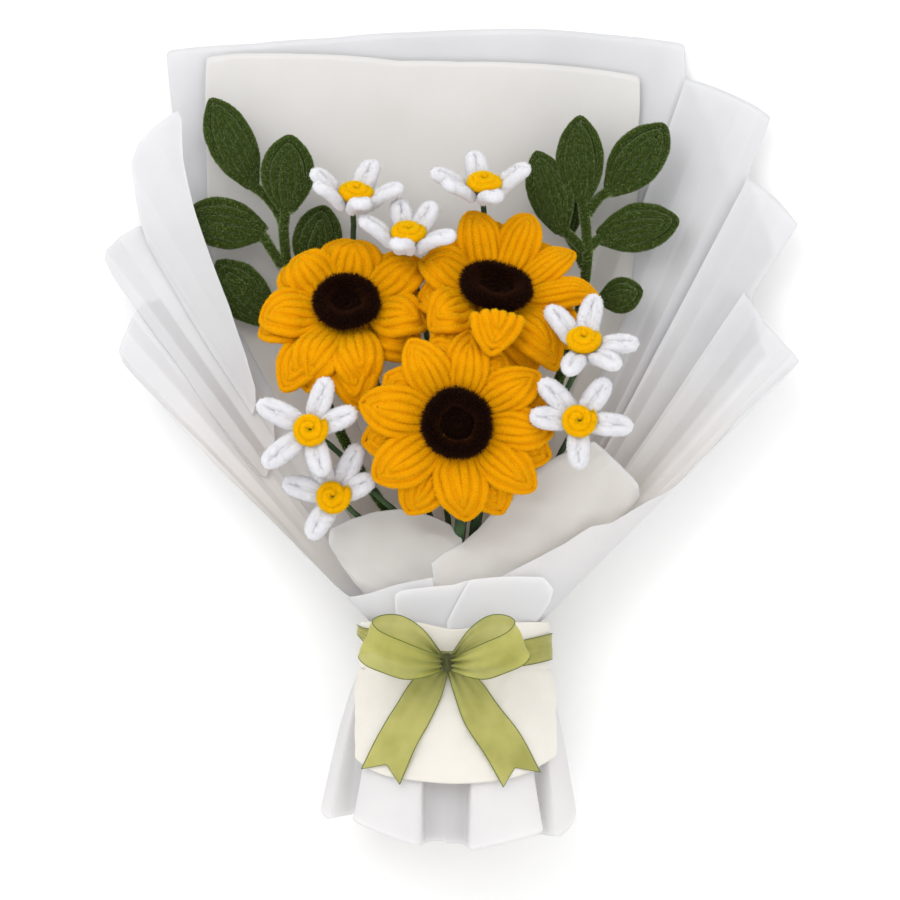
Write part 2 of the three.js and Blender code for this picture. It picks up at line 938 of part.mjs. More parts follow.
function addSunflower(flower) {
  const group = bloomGroup(flower);
  const front = petalLayer(flower.front, 5, -6.4);
  const back = petalLayer(flower.back, 3, -13);
  const petals = fuse([hub(SUNFLOWER.hubRadius, -3, -15.5, 14), ...front, ...back]);
  group.add(named(`sunflower_${flower.name}_petals`, petals, 'yellow'));
  group.add(named(`sunflower_${flower.name}_disc`, sunflowerDisc().translate(0, 0, -2.7), 'brown'));
  bouquet.add(group);
}

function addDaisy(daisy, number) {
  const group = bloomGroup(daisy);
  const petals = [hub(6.5, 0.5, -4.6, 8)];
  for (const [angle, reach] of daisy.petals) {
    petals.push(daisyPetal(angle, reach, daisy.cup));
  }
  group.add(named(`daisy_${number}_petals`, fuse(petals), 'white'));
  group.add(named(`daisy_${number}_centre`, daisyCentre().translate(0, 0, 0.5 + GAP), 'yellow'));
  bouquet.add(group);
}

// ---------------------------------------------------------------- leaf sprays

function leafPath(t) {
  return Math.sin(Math.PI * t ** 0.8) ** 0.75;
}

// A leaf from its base to its tip, [x, y, z] each, turned round its own length by roll.
function leaf({ base, tip, halfWidth, roll = 0 }) {
  const start = vector(...base);
  const end = vector(...tip);
  const length = start.distanceTo(end);
  const geometry = blade({
    ribs: 4,
    halfWidth,
    thickness: LEAF.thickness,
    path: (t) => [length * t, 4 * Math.sin(Math.PI * t)],
    width: (t) => 0.16 + 0.84 * leafPath(clamp(t, 0, 1)),
    stations: [0, 0.24, 0.7, 1],
  });
  const along = end.clone().sub(start).normalize();
  const up = vector(0, 0, 1);
  const across = up.clone().cross(along).normalize();
  const normal = along.clone().cross(across);
  const turn = new THREE.Matrix4().makeBasis(along, across, normal);
  geometry.rotateX(degToRad(roll)).applyMatrix4(turn).translate(...base);
  return geometry;
}

const SPRAYS = {
  left: {
    stem: [
      [-102, 128, 26],
      [-93, 121, 27],
      [-86, 110, 28],
      [-84.5, 98, 28],
      [-83, 86, 28],
      [-72, 40, 30],
      [-44, -20, 34],
      [-20, -52, 37],
    ],
    slot: [-6.45, -6.3],
    branches: [
      [[-96, 103, 25], [-91, 95, 27], [-85.5, 86, 28]],
      [[-83, 117, 33], [-84.5, 110, 31], [-85, 104, 28]],
      [[-72, 86, 22], [-77, 80, 25], [-81, 74, 28]],
      [[-93, 60, 22], [-86, 58, 25], [-77, 58, 29]],
    ],
    leaves: [
      { base: [-101, 128, 26], tip: [-121.5, 171.5, 26], halfWidth: 11 },
      { base: [-83, 116, 33], tip: [-82, 153.5, 36], halfWidth: 12.5 },
      { base: [-96, 104, 25], tip: [-136, 112.5, 20], halfWidth: 12 },
      { base: [-72, 85, 22], tip: [-65, 118, 18], halfWidth: 11.5 },
      { base: [-93, 60, 22], tip: [-119, 90, 18], halfWidth: 12 },
    ],
  },
  right: {
    stem: [
      [64.5, 121, 30],
      [65.5, 112, 30],
      [66.5, 103, 30],
      [67, 91, 30],
      [62, 60, 30],
      [42, 0, 33],
      [20, -52, 37],
    ],
    slot: [6.45, -6.3],
    branches: [
      [[79.5, 125, 29], [73, 121, 30], [66.5, 112, 30]],
      [[75, 101.5, 27], [71, 99, 29], [66, 94, 30]],
      [[53, 106, 28], [58, 102, 29], [66, 94, 30]],
      [[56.5, 104, 20], [60, 98, 24], [65.5, 86, 30]],
      [[75, 70, 25], [70, 68, 28], [63.5, 66, 30]],
    ],
    leaves: [
      { base: [64.5, 120.5, 30], tip: [63, 162.5, 30], halfWidth: 11 },
      { base: [79, 125, 29], tip: [106.5, 158, 26], halfWidth: 12 },
      { base: [74, 101.5, 27], tip: [113.5, 110, 24], halfWidth: 11.5 },
      { base: [53.5, 105, 28], tip: [41, 145, 29], halfWidth: 10.5 },
      { base: [56.5, 103.5, 20], tip: [58, 138, 18], halfWidth: 10 },
      { base: [75, 70, 25], tip: [95, 74.5, 22], halfWidth: 8.5 },
    ],
  },
};

// The straight run of a stem in the bundle, as [x, z] from the bundle's middle.
function bundleRun([x, z], end) {
  return [
    vector(x * 1.15, BUNDLE.top, BUNDLE.z + z * 1.15),
    vector(x, BUNDLE.top - 10, BUNDLE.z + z),
    vector(x, (BUNDLE.top + BUNDLE.bottom) / 2, BUNDLE.z + z),
    vector(x, BUNDLE.bottom, BUNDLE.z + z),
    vector(x * 1.3, end, BUNDLE.z + z * 1.3),
  ];
}

function addSpray(side, spray) {
  const main = [...spray.stem.map((point) => vector(...point)), ...bundleRun(spray.slot, -146)];
  const pieces = [rod(main, LEAF.stemRadius, 6, 11)];
  for (const branch of spray.branches) {
    pieces.push(rod(branch.map((point) => vector(...point)), LEAF.stemRadius * 0.9, 6, 2));
  }
  for (const blade of spray.leaves) {
    pieces.push(leaf(blade));
  }
  bouquet.add(named(`leaf_spray_${side}`, fuse(pieces), 'green'));
}

// ---------------------------------------------------------------- flower stems

// A stem leaves the back of its bloom along the bloom's axis and bends into the bundle.
function addStem(name, bloom, { radius, start, straight, slot, end, via = [] }) {
  const axis = vector(0, 0, 1).applyEuler(bloomGroup(bloom).rotation);
  const middle = vector(...bloom.at);
  const points = [
    middle.clone().addScaledVector(axis, start),
    middle.clone().addScaledVector(axis, start - straight),
    ...via.map((point) => vector(...point)),
    ...bundleRun(slot, end),
  ];
  const run = new THREE.CatmullRomCurve3(points, false, 'centripetal').getLength();
  bouquet.add(named(name, rod(points, radius, radius > 2 ? 6 : 5, Math.round(run / STEM_STEP)), 'stem'));
}

const SUNFLOWER_STEMS = [
  { slot: [0, 0], end: -150, via: [[4, -32, 62]] },
  { slot: [-6.3, 0], end: -148, via: [[-38, 20, 48]] },
  { slot: [6.3, 0], end: -152, via: [[19, 20, 48]] },
];
const DAISY_STEMS = [
  { slot: [-1.65, -4.51], end: -140, via: [[-50, 108, 33], [-49, 60, 24], [-18, -20, 36]] },
  { slot: [0, -7.37], end: -142, via: [[-23.5, 96, 46], [-21, 87, 34], [-13, 50, 28], [-5, -20, 34]] },
  { slot: [1.65, -4.51], end: -144, via: [[15, 116, 34], [16, 96, 23], [15, 50, 25], [8, -20, 36]] },
  { slot: [1.65, 4.85], end: -141, via: [[56, 24, 60], [36, -14, 52], [15, -46, 51]] },
  { slot: [5.2, 4.72], end: -143, via: [[56, -2, 54], [45, -22, 50], [25, -48, 49]] },
  { slot: [-1.65, 4.85], end: -145, via: [[-58, -6, 60], [-38, -28, 51], [-15, -48, 51]] },
  { slot: [-5.2, 4.72], end: -139, via: [[-48, -38, 50], [-27, -54, 49]] },
];

// ---------------------------------------------------------------- the whole bouquet

SUNFLOWERS.forEach((flower, i) => {
  addSunflower(flower);
  const shape = { radius: SUNFLOWER.stemRadius, start: -15.8, straight: 8 };
  addStem(`sunflower_${flower.name}_stem`, flower, { ...shape, ...SUNFLOWER_STEMS[i] });
});
DAISIES.forEach((daisy, i) => {
  addDaisy(daisy, i + 1);
  const shape = { radius: DAISY.stemRadius, start: -4.9, straight: 4 };
  addStem(`daisy_${i + 1}_stem`, daisy, { ...shape, ...DAISY_STEMS[i] });
});
for (const [side, spray] of Object.entries(SPRAYS)) {
  addSpray(side, spray);
}
for (const [name, sheet] of Object.entries(SHEETS)) {
  const look = name === 'wrap_liner' ? 'liner' : name.startsWith('wrap') ? 'paper' : 'tissue';
  bouquet.add(named(name, wrapSheet(sheet), look));
}
bouquet.add(named('skirt', skirtGeometry(), 'paper'));
bouquet.add(named('waist_cuff', cuffGeometry(), 'tissue'));
bouquet.add(named('stem_padding', paddingGeometry(), 'tissue'));
bouquet.add(named('ribbon_band', bandGeometry(), 'ribbon'));
bouquet.add(named('ribbon_bow', bowGeometry(), 'ribbon'));

export default bouquet;
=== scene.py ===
"""The looks of a bouquet of chenille flowers in a white paper wrap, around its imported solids.

Lengths are in millimetres until a mesh is built, in the part's own frame: +X is right, +Y runs
from the skirt to the top of the wrap, and +Z is up from the surface that the bouquet lies on.
"""

import math

import bpy
import numpy as np
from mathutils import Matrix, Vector


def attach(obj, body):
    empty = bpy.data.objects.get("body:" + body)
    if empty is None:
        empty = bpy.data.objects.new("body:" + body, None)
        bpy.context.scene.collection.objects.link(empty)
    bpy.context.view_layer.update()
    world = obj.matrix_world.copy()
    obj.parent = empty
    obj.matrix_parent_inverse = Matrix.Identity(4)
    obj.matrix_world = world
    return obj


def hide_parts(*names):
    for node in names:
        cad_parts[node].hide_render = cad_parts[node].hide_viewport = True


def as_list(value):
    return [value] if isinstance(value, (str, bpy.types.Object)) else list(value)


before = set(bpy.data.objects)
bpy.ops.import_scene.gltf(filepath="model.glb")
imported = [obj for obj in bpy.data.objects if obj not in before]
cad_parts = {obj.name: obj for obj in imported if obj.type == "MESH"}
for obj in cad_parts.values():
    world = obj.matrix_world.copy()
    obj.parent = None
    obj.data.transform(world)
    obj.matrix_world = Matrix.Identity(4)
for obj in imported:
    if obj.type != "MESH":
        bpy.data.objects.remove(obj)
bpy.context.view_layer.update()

MM = 0.001
TURN = 2 * math.pi
STEP = 1.5  # between the points of a stem
CLEARANCE = 0.2  # of paper, from the floor and from the solids

# ---------------------------------------------------------------- dimensions shared with the part

WAIST = dict(y=-95, z=44, half_width=46.5, half_depth=32)
LAYER = 1.5
PAPER = 0.35
CONE = dict(side_lean=45, lean_power=1.2, flat_angle=25, side_height=47, front_rise=24,
            opening_reach=70, wave_height=1.6)
SKIRT = dict(top=-95.6, flare_from=-115, hem=-200, hem_step=5, half_width=61, half_depth=36,
             z=39.5, shift=-3, flute_depth=6, flute_half_angle=19,
             flutes=[18, 62, 120, 172, 212, 245, 295, 330], overhangs=[5, 7, 7, 5, 2, 0, 0, 2],
             rises=[13, 4.2, 8.4, 19, 25, 27, 27, 25], slants=[-10, -6.5, 9.6, 6.3, 0, 0, 0, 0])
CUFF = dict(top=-91, dip=3.5, bottom=-155, smile=16, half_width=50, clearance=0.9)
BAND = dict(top=-94.5, bottom=-114, clearance=2.6)
PADDING = dict(top=-84, bottom=-112, layer=10, hole_width=12.6, hole_depth=11, hole_z=42.5)
KNOT = dict(x=-3.2, y=-111, z=86, radius=4.4)
BUNDLE = dict(top=-70, bottom=-116, z=44)
PETAL = dict(root=12.2, half=13.6, whole_from=43, arch=7.5, crown=5.2, disc_radius=18.5)
DAISY = dict(root=5.4, half=2.95, strand=3.55, seam=2.9, centre=7.3)
LEAF = dict(arch=4, crown=2.6, past_base=2, past_side=0.8)
RIBBON = dict(thickness=0.16, wire=0.24, cut_edge=0.16, notch=7)
STRANDS = 3  # nested in each petal and leaf

# Each bloom: where its middle is and how far it tilts towards +Y and +X. Its petals are
# (angle, reach, droop), in a front layer and a back layer. One petal stands up in front of its
# disc: it also has the height of its crest and how far out that is. Its stem goes by the via
# points into a slot of the bundle, and ends at its own y.
SUNFLOWERS = {
    "low": dict(
        at=(1.8, 8, 98), up=0, side=0, disc_up=0, disc_size=1,
        front=[(-41, 49, 14), (-88, 47, 15), (-144, 48, 14), (169, 48, 14),
               (118, 46, 13), (81, 45, 20), (34, 46, 14), (-3, 46, 15)],
        back=[(-64, 47, 15), (-116, 48, 15), (-166, 45, 15), (148, 40, 10),
              (103, 40, 10), (60, 38, 8), (20, 45, 15), (-20, 46, 15)],
        slot=(0, 0), end=-150, via=[(4, -32, 62)],
    ),
    "left": dict(
        at=(-53.5, 68, 69), up=30, side=-6, disc_up=6, disc_size=0.93,
        front=[(-9, 38.4, 15), (36, 46, 12), (80, 38, 8), (132, 40, 9),
               (181, 43, 13), (239, 43, 21), (281, 42, 23)],
        back=[(5, 36, 12), (50, 38, 10), (95, 42, 8), (138, 42, 10),
              (182, 43, 14), (227, 47, 14), (274, 46, 16), (325, 38, 18)],
        slot=(-6.3, 0), end=-148, via=[(-38, 20, 48)],
    ),
    "right": dict(
        at=(21.5, 75, 72), up=33, side=8, disc_up=19, disc_size=1,
        front=[(5, 51, 10), (34, 49, 9), (69, 49.5, 3), (106, 48, 5),
               (152, 40, 10), (205, 36, 15), (268, 39, 12, 19.5, 0.3), (316, 45, 20)],
        back=[(50, 46, 10), (88, 46, 8), (130, 42, 10), (181, 35, 12),
              (232, 42, 18), (294, 40, 20), (342, 46, 16)],
        slot=(6.3, 0), end=-152, via=[(19, 20, 48)],
    ),
}

# The daisies' petals are (angle, reach); cup is how far they close up.
DAISIES = [
    dict(at=(-49.5, 120.5, 54), up=58, side=4, cup=20,
         petals=[(-78, 23), (-10, 24), (68, 22), (164, 23), (202, 22)],
         slot=(-1.65, -4.51), end=-140,
         via=[(-50, 108, 33), (-49, 60, 24), (-18, -20, 36)]),
    dict(at=(-23, 100.5, 66), up=55, side=0, cup=20,
         petals=[(-100, 22), (-32, 27), (50, 21), (102, 20), (180, 24)],
         slot=(0, -7.37), end=-142,
         via=[(-23.5, 96, 46), (-21, 87, 34), (-13, 50, 28), (-5, -20, 34)]),
    dict(at=(14.7, 125.5, 54), up=58, side=0, cup=16,
         petals=[(-75, 24), (14, 24), (102, 22), (176, 26), (210, 22)],
         slot=(1.65, -4.51), end=-144,
         via=[(15, 116, 34), (16, 96, 23), (15, 50, 25), (8, -20, 36)]),
    dict(at=(64.2, 47.5, 88), up=42, side=0, cup=12,
         petals=[(128, 26), (78, 28), (-7, 28), (-47, 27), (-108, 25)],
         slot=(1.65, 4.85), end=-141, via=[(56, 24, 60), (36, -14, 52), (15, -46, 51)]),
    dict(at=(62, 9.5, 97), up=4, side=0, cup=4,
         petals=[(130, 27), (53, 25), (-8, 27), (-90, 24), (176, 24)],
         slot=(5.2, 4.72), end=-143, via=[(56, -2, 54), (45, -22, 50), (25, -48, 49)]),
    dict(at=(-71.5, 5, 84), up=4, side=-4, cup=4,
         petals=[(151, 29), (70, 27), (20, 25), (-73, 24), (217, 29)],
         slot=(-1.65, 4.85), end=-145, via=[(-58, -6, 60), (-38, -28, 51), (-15, -48, 51)]),
    dict(at=(-59.5, -28.5, 69), up=4, side=-14, cup=4,
         petals=[(23, 22), (62, 29), (115, 26), (164, 27), (238, 24)],
         slot=(-5.2, 4.72), end=-139, via=[(-48, -38, 50), (-27, -54, 49)]),
]

# A leaf is (base, tip, half its width).
SPRAYS = {
    "left": dict(
        stem=[(-102, 128, 26), (-93, 121, 27), (-86, 110, 28), (-84.5, 98, 28), (-83, 86, 28),
              (-72, 40, 30), (-44, -20, 34), (-20, -52, 37)],
        slot=(-6.45, -6.3),
        branches=[
            [(-96, 103, 25), (-91, 95, 27), (-85.5, 86, 28)],
            [(-83, 117, 33), (-84.5, 110, 31), (-85, 104, 28)],
            [(-72, 86, 22), (-77, 80, 25), (-81, 74, 28)],
            [(-93, 60, 22), (-86, 58, 25), (-77, 58, 29)],
        ],
        leaves=[
            ((-101, 128, 26), (-121.5, 171.5, 26), 11),
            ((-83, 116, 33), (-82, 153.5, 36), 12.5),
            ((-96, 104, 25), (-136, 112.5, 20), 12),
            ((-72, 85, 22), (-65, 118, 18), 11.5),
            ((-93, 60, 22), (-119, 90, 18), 12),
        ],
    ),
    "right": dict(
        stem=[(64.5, 121, 30), (65.5, 112, 30), (66.5, 103, 30), (67, 91, 30), (62, 60, 30),
              (42, 0, 33), (20, -52, 37)],
        slot=(6.45, -6.3),
        branches=[
            [(79.5, 125, 29), (73, 121, 30), (66.5, 112, 30)],
            [(75, 101.5, 27), (71, 99, 29), (66, 94, 30)],
            [(53, 106, 28), (58, 102, 29), (66, 94, 30)],
            [(56.5, 104, 20), (60, 98, 24), (65.5, 86, 30)],
            [(75, 70, 25), (70, 68, 28), (63.5, 66, 30)],
        ],
        leaves=[
            ((64.5, 120.5, 30), (63, 162.5, 30), 11),
            ((79, 125, 29), (106.5, 158, 26), 12),
            ((74, 101.5, 27), (113.5, 110, 24), 11.5),
            ((53.5, 105, 28), (41, 145, 29), 10.5),
            ((56.5, 103.5, 20), (58, 138, 18), 10),
            ((75, 70, 25), (95, 74.5, 22), 8.5),
        ],
    ),
}

# The sheets from the outside in. A ray is (angle, reach, lift, first reach, first lift): the paper
# lies along it from the first reach, which is lifted off the cone by the first lift, to the
# reach, which is lifted off it by the lift. What a ray leaves out is 0.
SHEETS = {
    "wrap_back_sheet": dict(layer=0, rays=[
        (-141, 200), (-131.2, 231), (-126.8, 270), (-123.7, 313), (-114.6, 304.6),
        (-105.8, 300.3), (-96, 299.6), (-87, 300.5), (-79, 302.5), (-71.8, 304), (-62.4, 308),
        (-61, 291.5), (-56, 272), (-46, 228)]),
    "wrap_right_upper_fold": dict(layer=1, rays=[
        (-61, 291.5), (-58, 291.5), (-55.9, 291), (-52, 289.4), (-49.6, 287), (-48.8, 256),
        (-44, 240), (-38, 226)]),
    "wrap_right_middle_fold": dict(layer=2, rays=[
        (-48.5, 254.5, 2.5), (-46, 252.5, 0.7), (-43, 250.3), (-40, 246.5), (-37.4, 243.5),
        (-36.9, 201), (-31, 187), (-24, 178)]),
    "wrap_right_lower_fold": dict(layer=3, rays=[
        (-38.5, 201, 2.5), (-35, 197, 0.7), (-30.3, 192), (-22, 188), (-13, 185.5), (-7, 184),
        (-2, 150), (3, 125), (9, 96), (20, 84), (30, 66), (38.5, 61), (45, 49), (54, 38.8),
        (66.5, 28), (80, 21.5), (96, 18), (112, 17)]),
    "wrap_left_lower_fold": dict(layer=4, rays=[
        (-143, 198), (-148, 200), (-155.8, 192), (-160.9, 186.5), (-165.2, 179), (-167.5, 163),
        (-171.5, 130), (-175.7, 97), (-179, 60), (-184, 24), (-196, 17), (-209.6, 18),
        (-224, 20), (-242, 24), (-260, 27)]),
    "wrap_left_middle_fold": dict(layer=5, rays=[
        (-153.2, 100, 0, 96), (-150, 161, 0, 93), (-149.2, 219, 0, 93), (-148.3, 229, 0, 94),
        (-146.9, 232.5, 0, 95), (-142.3, 235.5, 0, 101), (-138, 236, 0, 110),
        (-135, 170, 1, 121, 1)]),
    "wrap_left_upper_fold": dict(layer=6, rays=[
        (-140.4, 160, 0, 125), (-139.2, 226, 1, 127, 1), (-138.2, 237, 3, 130, 3),
        (-136.6, 251, 7, 137, 7), (-134.7, 266.5, 11, 153, 11), (-132.7, 273.5, 14, 180, 14),
        (-130.2, 278, 16, 231, 16), (-128.4, 280, 16, 257, 16), (-126.2, 282, 16, 278, 16)]),
    "tissue_right": dict(layer=7, rays=[
        (20.2, 82), (29, 89), (37, 93), (44, 97), (52.4, 103), (60.4, 91.4), (64.4, 83.4),
        (71.3, 67.1), (80, 51.5), (86, 44.5), (94.2, 39.8), (100.5, 34.5)]),
    "tissue_left": dict(layer=8, rays=[
        (86, 46.5), (91.3, 53.5), (98.7, 57.9), (109, 62), (118.4, 61.9), (128, 60),
        (138.6, 57), (145, 50), (151, 41), (156, 32), (158, 22)]),
    "wrap_liner": dict(layer=9, settles_to=2, rays=[
        (-131.5, 178), (-129.4, 211), (-124.4, 254), (-119.9, 303.5), (-117, 302),
        (-109.5, 294.8), (-98, 285.5), (-89, 284.3), (-80.5, 284.9), (-73, 286), (-66.3, 287),
        (-63.8, 250.5), (-60, 204), (-57, 170)]),
    "collar_left": dict(layer=2, rays=[
        (125, 8), (120.5, 18.5), (117, 20.5), (104, 21.8), (90.3, 22.8), (81.8, 25.3),
        (78, 20)]),
    "collar_right": dict(layer=1, rays=[
        (30.7, 6), (33, 17), (37, 24), (47.7, 29.7), (66.4, 27.7), (82.1, 25.3), (88, 14),
        (94, 4)]),
}

# ---------------------------------------------------------------- numbers


def lerp(a, b, t):
    return a + (b - a) * t


def smoothstep(x, low, high):
    t = np.clip((x - low) / (high - low), 0, 1)
    return t * t * (3 - 2 * t)


def cosd(angle):
    return np.cos(np.radians(angle))


def sind(angle):
    return np.sin(np.radians(angle))


def unit(v):
    return v / np.maximum(np.linalg.norm(v, axis=-1, keepdims=True), 1e-9)


def through(values, at, soft=0.06):
    """Straight from each of the values to the next, with softened corners, read at at."""
    room = np.minimum(1, np.minimum(at, len(values) - 1 - at) / soft)
    places = np.arange(len(values))
    around = [np.interp(at + part * soft * room, places, values) for part in (-1, -0.5, 0, 0.5, 1)]
    return np.mean(around, axis=0)


def catmull(points):
    """A centripetal Catmull-Rom curve through the points, evenly sampled."""
    p = np.asarray(points, float)
    p = np.vstack([2 * p[0] - p[1], p, 2 * p[-1] - p[-2]])
    out = []
    for i in range(len(p) - 3):
        a, b, c, d = p[i:i + 4]
        t1 = np.linalg.norm(b - a) ** 0.5
        t2 = t1 + np.linalg.norm(c - b) ** 0.5
        t3 = t2 + np.linalg.norm(d - c) ** 0.5
        t = np.linspace(t1, t2, 24, endpoint=i == len(p) - 4)[:, None]
        ab = (t1 - t) / t1 * a + t / t1 * b
        bc = (t2 - t) / (t2 - t1) * b + (t - t1) / (t2 - t1) * c
        cd = (t3 - t) / (t3 - t2) * c + (t - t2) / (t3 - t2) * d
        abc = (t2 - t) / t2 * ab + t / t2 * bc
        bcd = (t3 - t) / (t3 - t1) * bc + (t - t1) / (t3 - t1) * cd
        out.append((t2 - t) / (t2 - t1) * abc + (t - t1) / (t2 - t1) * bcd)
    return resample(np.vstack(out), STEP)


def resample(path, step):
    """The same path with evenly spaced points; columns after the third are carried along."""
    lengths = np.linalg.norm(np.diff(path[:, :3], axis=0), axis=1)
    along = np.concatenate([[0], np.cumsum(lengths)])
    count = max(3, int(round(along[-1] / step)) + 1)
    at = np.linspace(0, along[-1], count)
    return np.stack([np.interp(at, along, column) for column in path.T], axis=1)


def frames_along(path):
    """Tangent and two normals at each point, which don't twist along the path."""
    tangent = unit(np.gradient(path, axis=0))
    normal = np.empty_like(path)
    start = np.eye(3)[np.argmin(np.abs(tangent[0]))]
    last = unit(np.cross(tangent[0], start))
    for i, t in enumerate(tangent):
        last = last - np.dot(last, t) * t
        last = last / np.linalg.norm(last)
        normal[i] = last
    return tangent, normal, np.cross(tangent, normal)


def ripples(points, wavelength, seed, waves=12):
    """Smooth noise of about -1 to 1, the same on every run."""
    rng = np.random.default_rng(seed)
    total = np.zeros(points.shape[:-1])
    for _ in range(waves):
        direction = unit(rng.normal(size=3))
        length = wavelength * rng.uniform(0.6, 1.7)
        total += np.sin(points @ direction * TURN / length + rng.uniform(0, TURN))
    return total / math.sqrt(waves)


# ---------------------------------------------------------------- meshes


def add_object(name, data):
    made = bpy.data.objects.new(name, data)
    bpy.context.scene.collection.objects.link(made)
    return made


class Shape:
    """Points and faces that become one mesh.

    Every point has two marks that its material reads. tip runs from 0 on a body to 1 at a
    fibre's end or a sheet's edge: where it is low, pile carries painted shade, and where it is
    high, paper carries a painted highlight. shade is a fibre's own tone; on paper deep inside
    the cone and on ribbon close to the knot it is painted shade. Below 0 it is painted shade on
    paper that lies deep between two flutes. across is where a point of the ribbon lies on the
    flat cloth.
    """

    def __init__(self):
        self.points, self.quads, self.triangles = [], [], []
        self.tips, self.shades, self.across = [], [], []
        self.count = 0

    def add(self, points, quads=None, triangles=None, tip=0, shade=0, across=0):
        points = np.asarray(points, float).reshape(-1, 3)
        self.points.append(points)
        if quads is not None:
            self.quads.append(np.asarray(quads).reshape(-1, 4) + self.count)
        if triangles is not None:
            self.triangles.append(np.asarray(triangles).reshape(-1, 3) + self.count)
        self.tips.append(np.broadcast_to(tip, len(points)))
        self.shades.append(np.broadcast_to(shade, len(points)))
        self.across.append(np.broadcast_to(across, (len(points), 2)))
        self.count += len(points)

    def build(self, name, material, nodes=()):
        points = np.concatenate(self.points) * MM
        quads = np.concatenate(self.quads or [np.zeros((0, 4), int)])
        triangles = np.concatenate(self.triangles or [np.zeros((0, 3), int)])
        mesh = bpy.data.meshes.new(name)
        mesh.vertices.add(len(points))
        mesh.vertices.foreach_set("co", points.astype(np.float32).ravel())
        corners = np.concatenate([quads.ravel(), triangles.ravel()]).astype(np.int32)
        mesh.loops.add(len(corners))
        mesh.loops.foreach_set("vertex_index", corners)
        starts = np.concatenate([
            np.arange(len(quads)) * 4,
            len(quads) * 4 + np.arange(len(triangles)) * 3,
        ]).astype(np.int32)
        mesh.polygons.add(len(starts))
        mesh.polygons.foreach_set("loop_start", starts)
        mesh.polygons.foreach_set("use_smooth", np.ones(len(starts), bool))
        for mark, values in (("tip", self.tips), ("shade", self.shades)):
            attribute = mesh.attributes.new(mark, "FLOAT", "POINT")
            attribute.data.foreach_set("value", np.concatenate(values).astype(np.float32))
        uv = mesh.uv_layers.new(name="cloth")
        across = np.concatenate(self.across)[corners].astype(np.float32)
        uv.data.foreach_set("uv", across.ravel())
        mesh.update(calc_edges=True)
        mesh.validate()
        mesh.materials.append(material)
        piece = add_object(name, mesh)
        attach(piece, "root")
        if nodes:
            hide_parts(*nodes)
        return piece


def grid_quads(columns, rows, closed=False):
    """Quads of a grid whose points are numbered row by row inside each column."""
    column = np.arange(columns if closed else columns - 1)
    row = np.arange(rows - 1)
    a = (column[:, None] * rows + row[None, :]).ravel()
    b = (((column + 1) % columns)[:, None] * rows + row[None, :]).ravel()
    return np.stack([a, b, b + 1, a + 1], axis=1)


def add_plate(shape, outer, inner, closed=False, across=None, edge=None, deep=None):
    """A thin sheet between two grids of points, columns by rows, with its edges closed.

    across and edge hold for both faces of the sheet; edge is a painted highlight along its cut
    edges, and deep gives painted shade, one for each face.
    """
    columns, rows, _ = outer.shape
    face = grid_quads(columns, rows, closed)
    back = columns * rows
    quads = [face, face[:, ::-1] + back]
    first = np.arange(columns) * rows
    for rim, flip in ((first, True), (first + rows - 1, False)):
        ahead = np.roll(rim, -1) if closed else rim[1:]
        here = rim if closed else rim[:-1]
        strip = np.stack([here, ahead, ahead + back, here + back], axis=1)
        quads.append(strip[:, ::-1] if flip else strip)
    if not closed:
        for start, flip in ((0, False), ((columns - 1) * rows, True)):
            side = start + np.arange(rows)
            strip = np.stack([side[:-1], side[1:], side[1:] + back, side[:-1] + back], axis=1)
            quads.append(strip[:, ::-1] if flip else strip)
    uv = 0 if across is None else np.concatenate([across.reshape(-1, 2)] * 2)
    tip = 0 if edge is None else np.tile(edge.ravel(), 2)
    shade = 0 if deep is None else np.concatenate([side.ravel() for side in deep])
    points = np.concatenate([outer.reshape(-1, 3), inner.reshape(-1, 3)])
    shape.add(points, np.concatenate(quads), tip=tip, shade=shade, across=uv)


def plate_piece(name, material, slot, nodes, outer, inner, **marks):
    """A sheet that is a piece of its own."""
    shape = Shape()
    add_plate(shape, outer, inner, **marks)
    return shape.build(name, material, nodes)


def add_tube(shape, path, radii, sides):
    """A closed tube; radii is a number, or an array that fits points by sides."""
    tangent, normal, binormal = frames_along(path)
    angle = np.arange(sides) / sides * TURN
    out = normal[:, None] * np.cos(angle)[:, None] + binormal[:, None] * np.sin(angle)[:, None]
    radii = np.broadcast_to(radii, (len(path), sides))
    ring = path[:, None] + out * radii[..., None]
    step = np.arange(len(path) - 1)[:, None] * sides
    i = np.arange(sides)[None, :]
    j = (i + 1) % sides
    quads = np.stack([step + i, step + j, step + sides + j, step + sides + i], axis=-1)
    last = (len(path) - 1) * sides
    ends = len(path) * sides
    around = np.arange(sides)
    after = (around + 1) % sides
    caps = np.concatenate([
        np.stack([after, around, np.full(sides, ends)], axis=1),
        np.stack([last + around, last + after, np.full(sides, ends + 1)], axis=1),
    ])
    points = np.concatenate([ring.reshape(-1, 3), path[:1], path[-1:]])
    shape.add(points, quads.reshape(-1, 4), caps)
    return tangent, normal, binormal


# ---------------------------------------------------------------- chenille


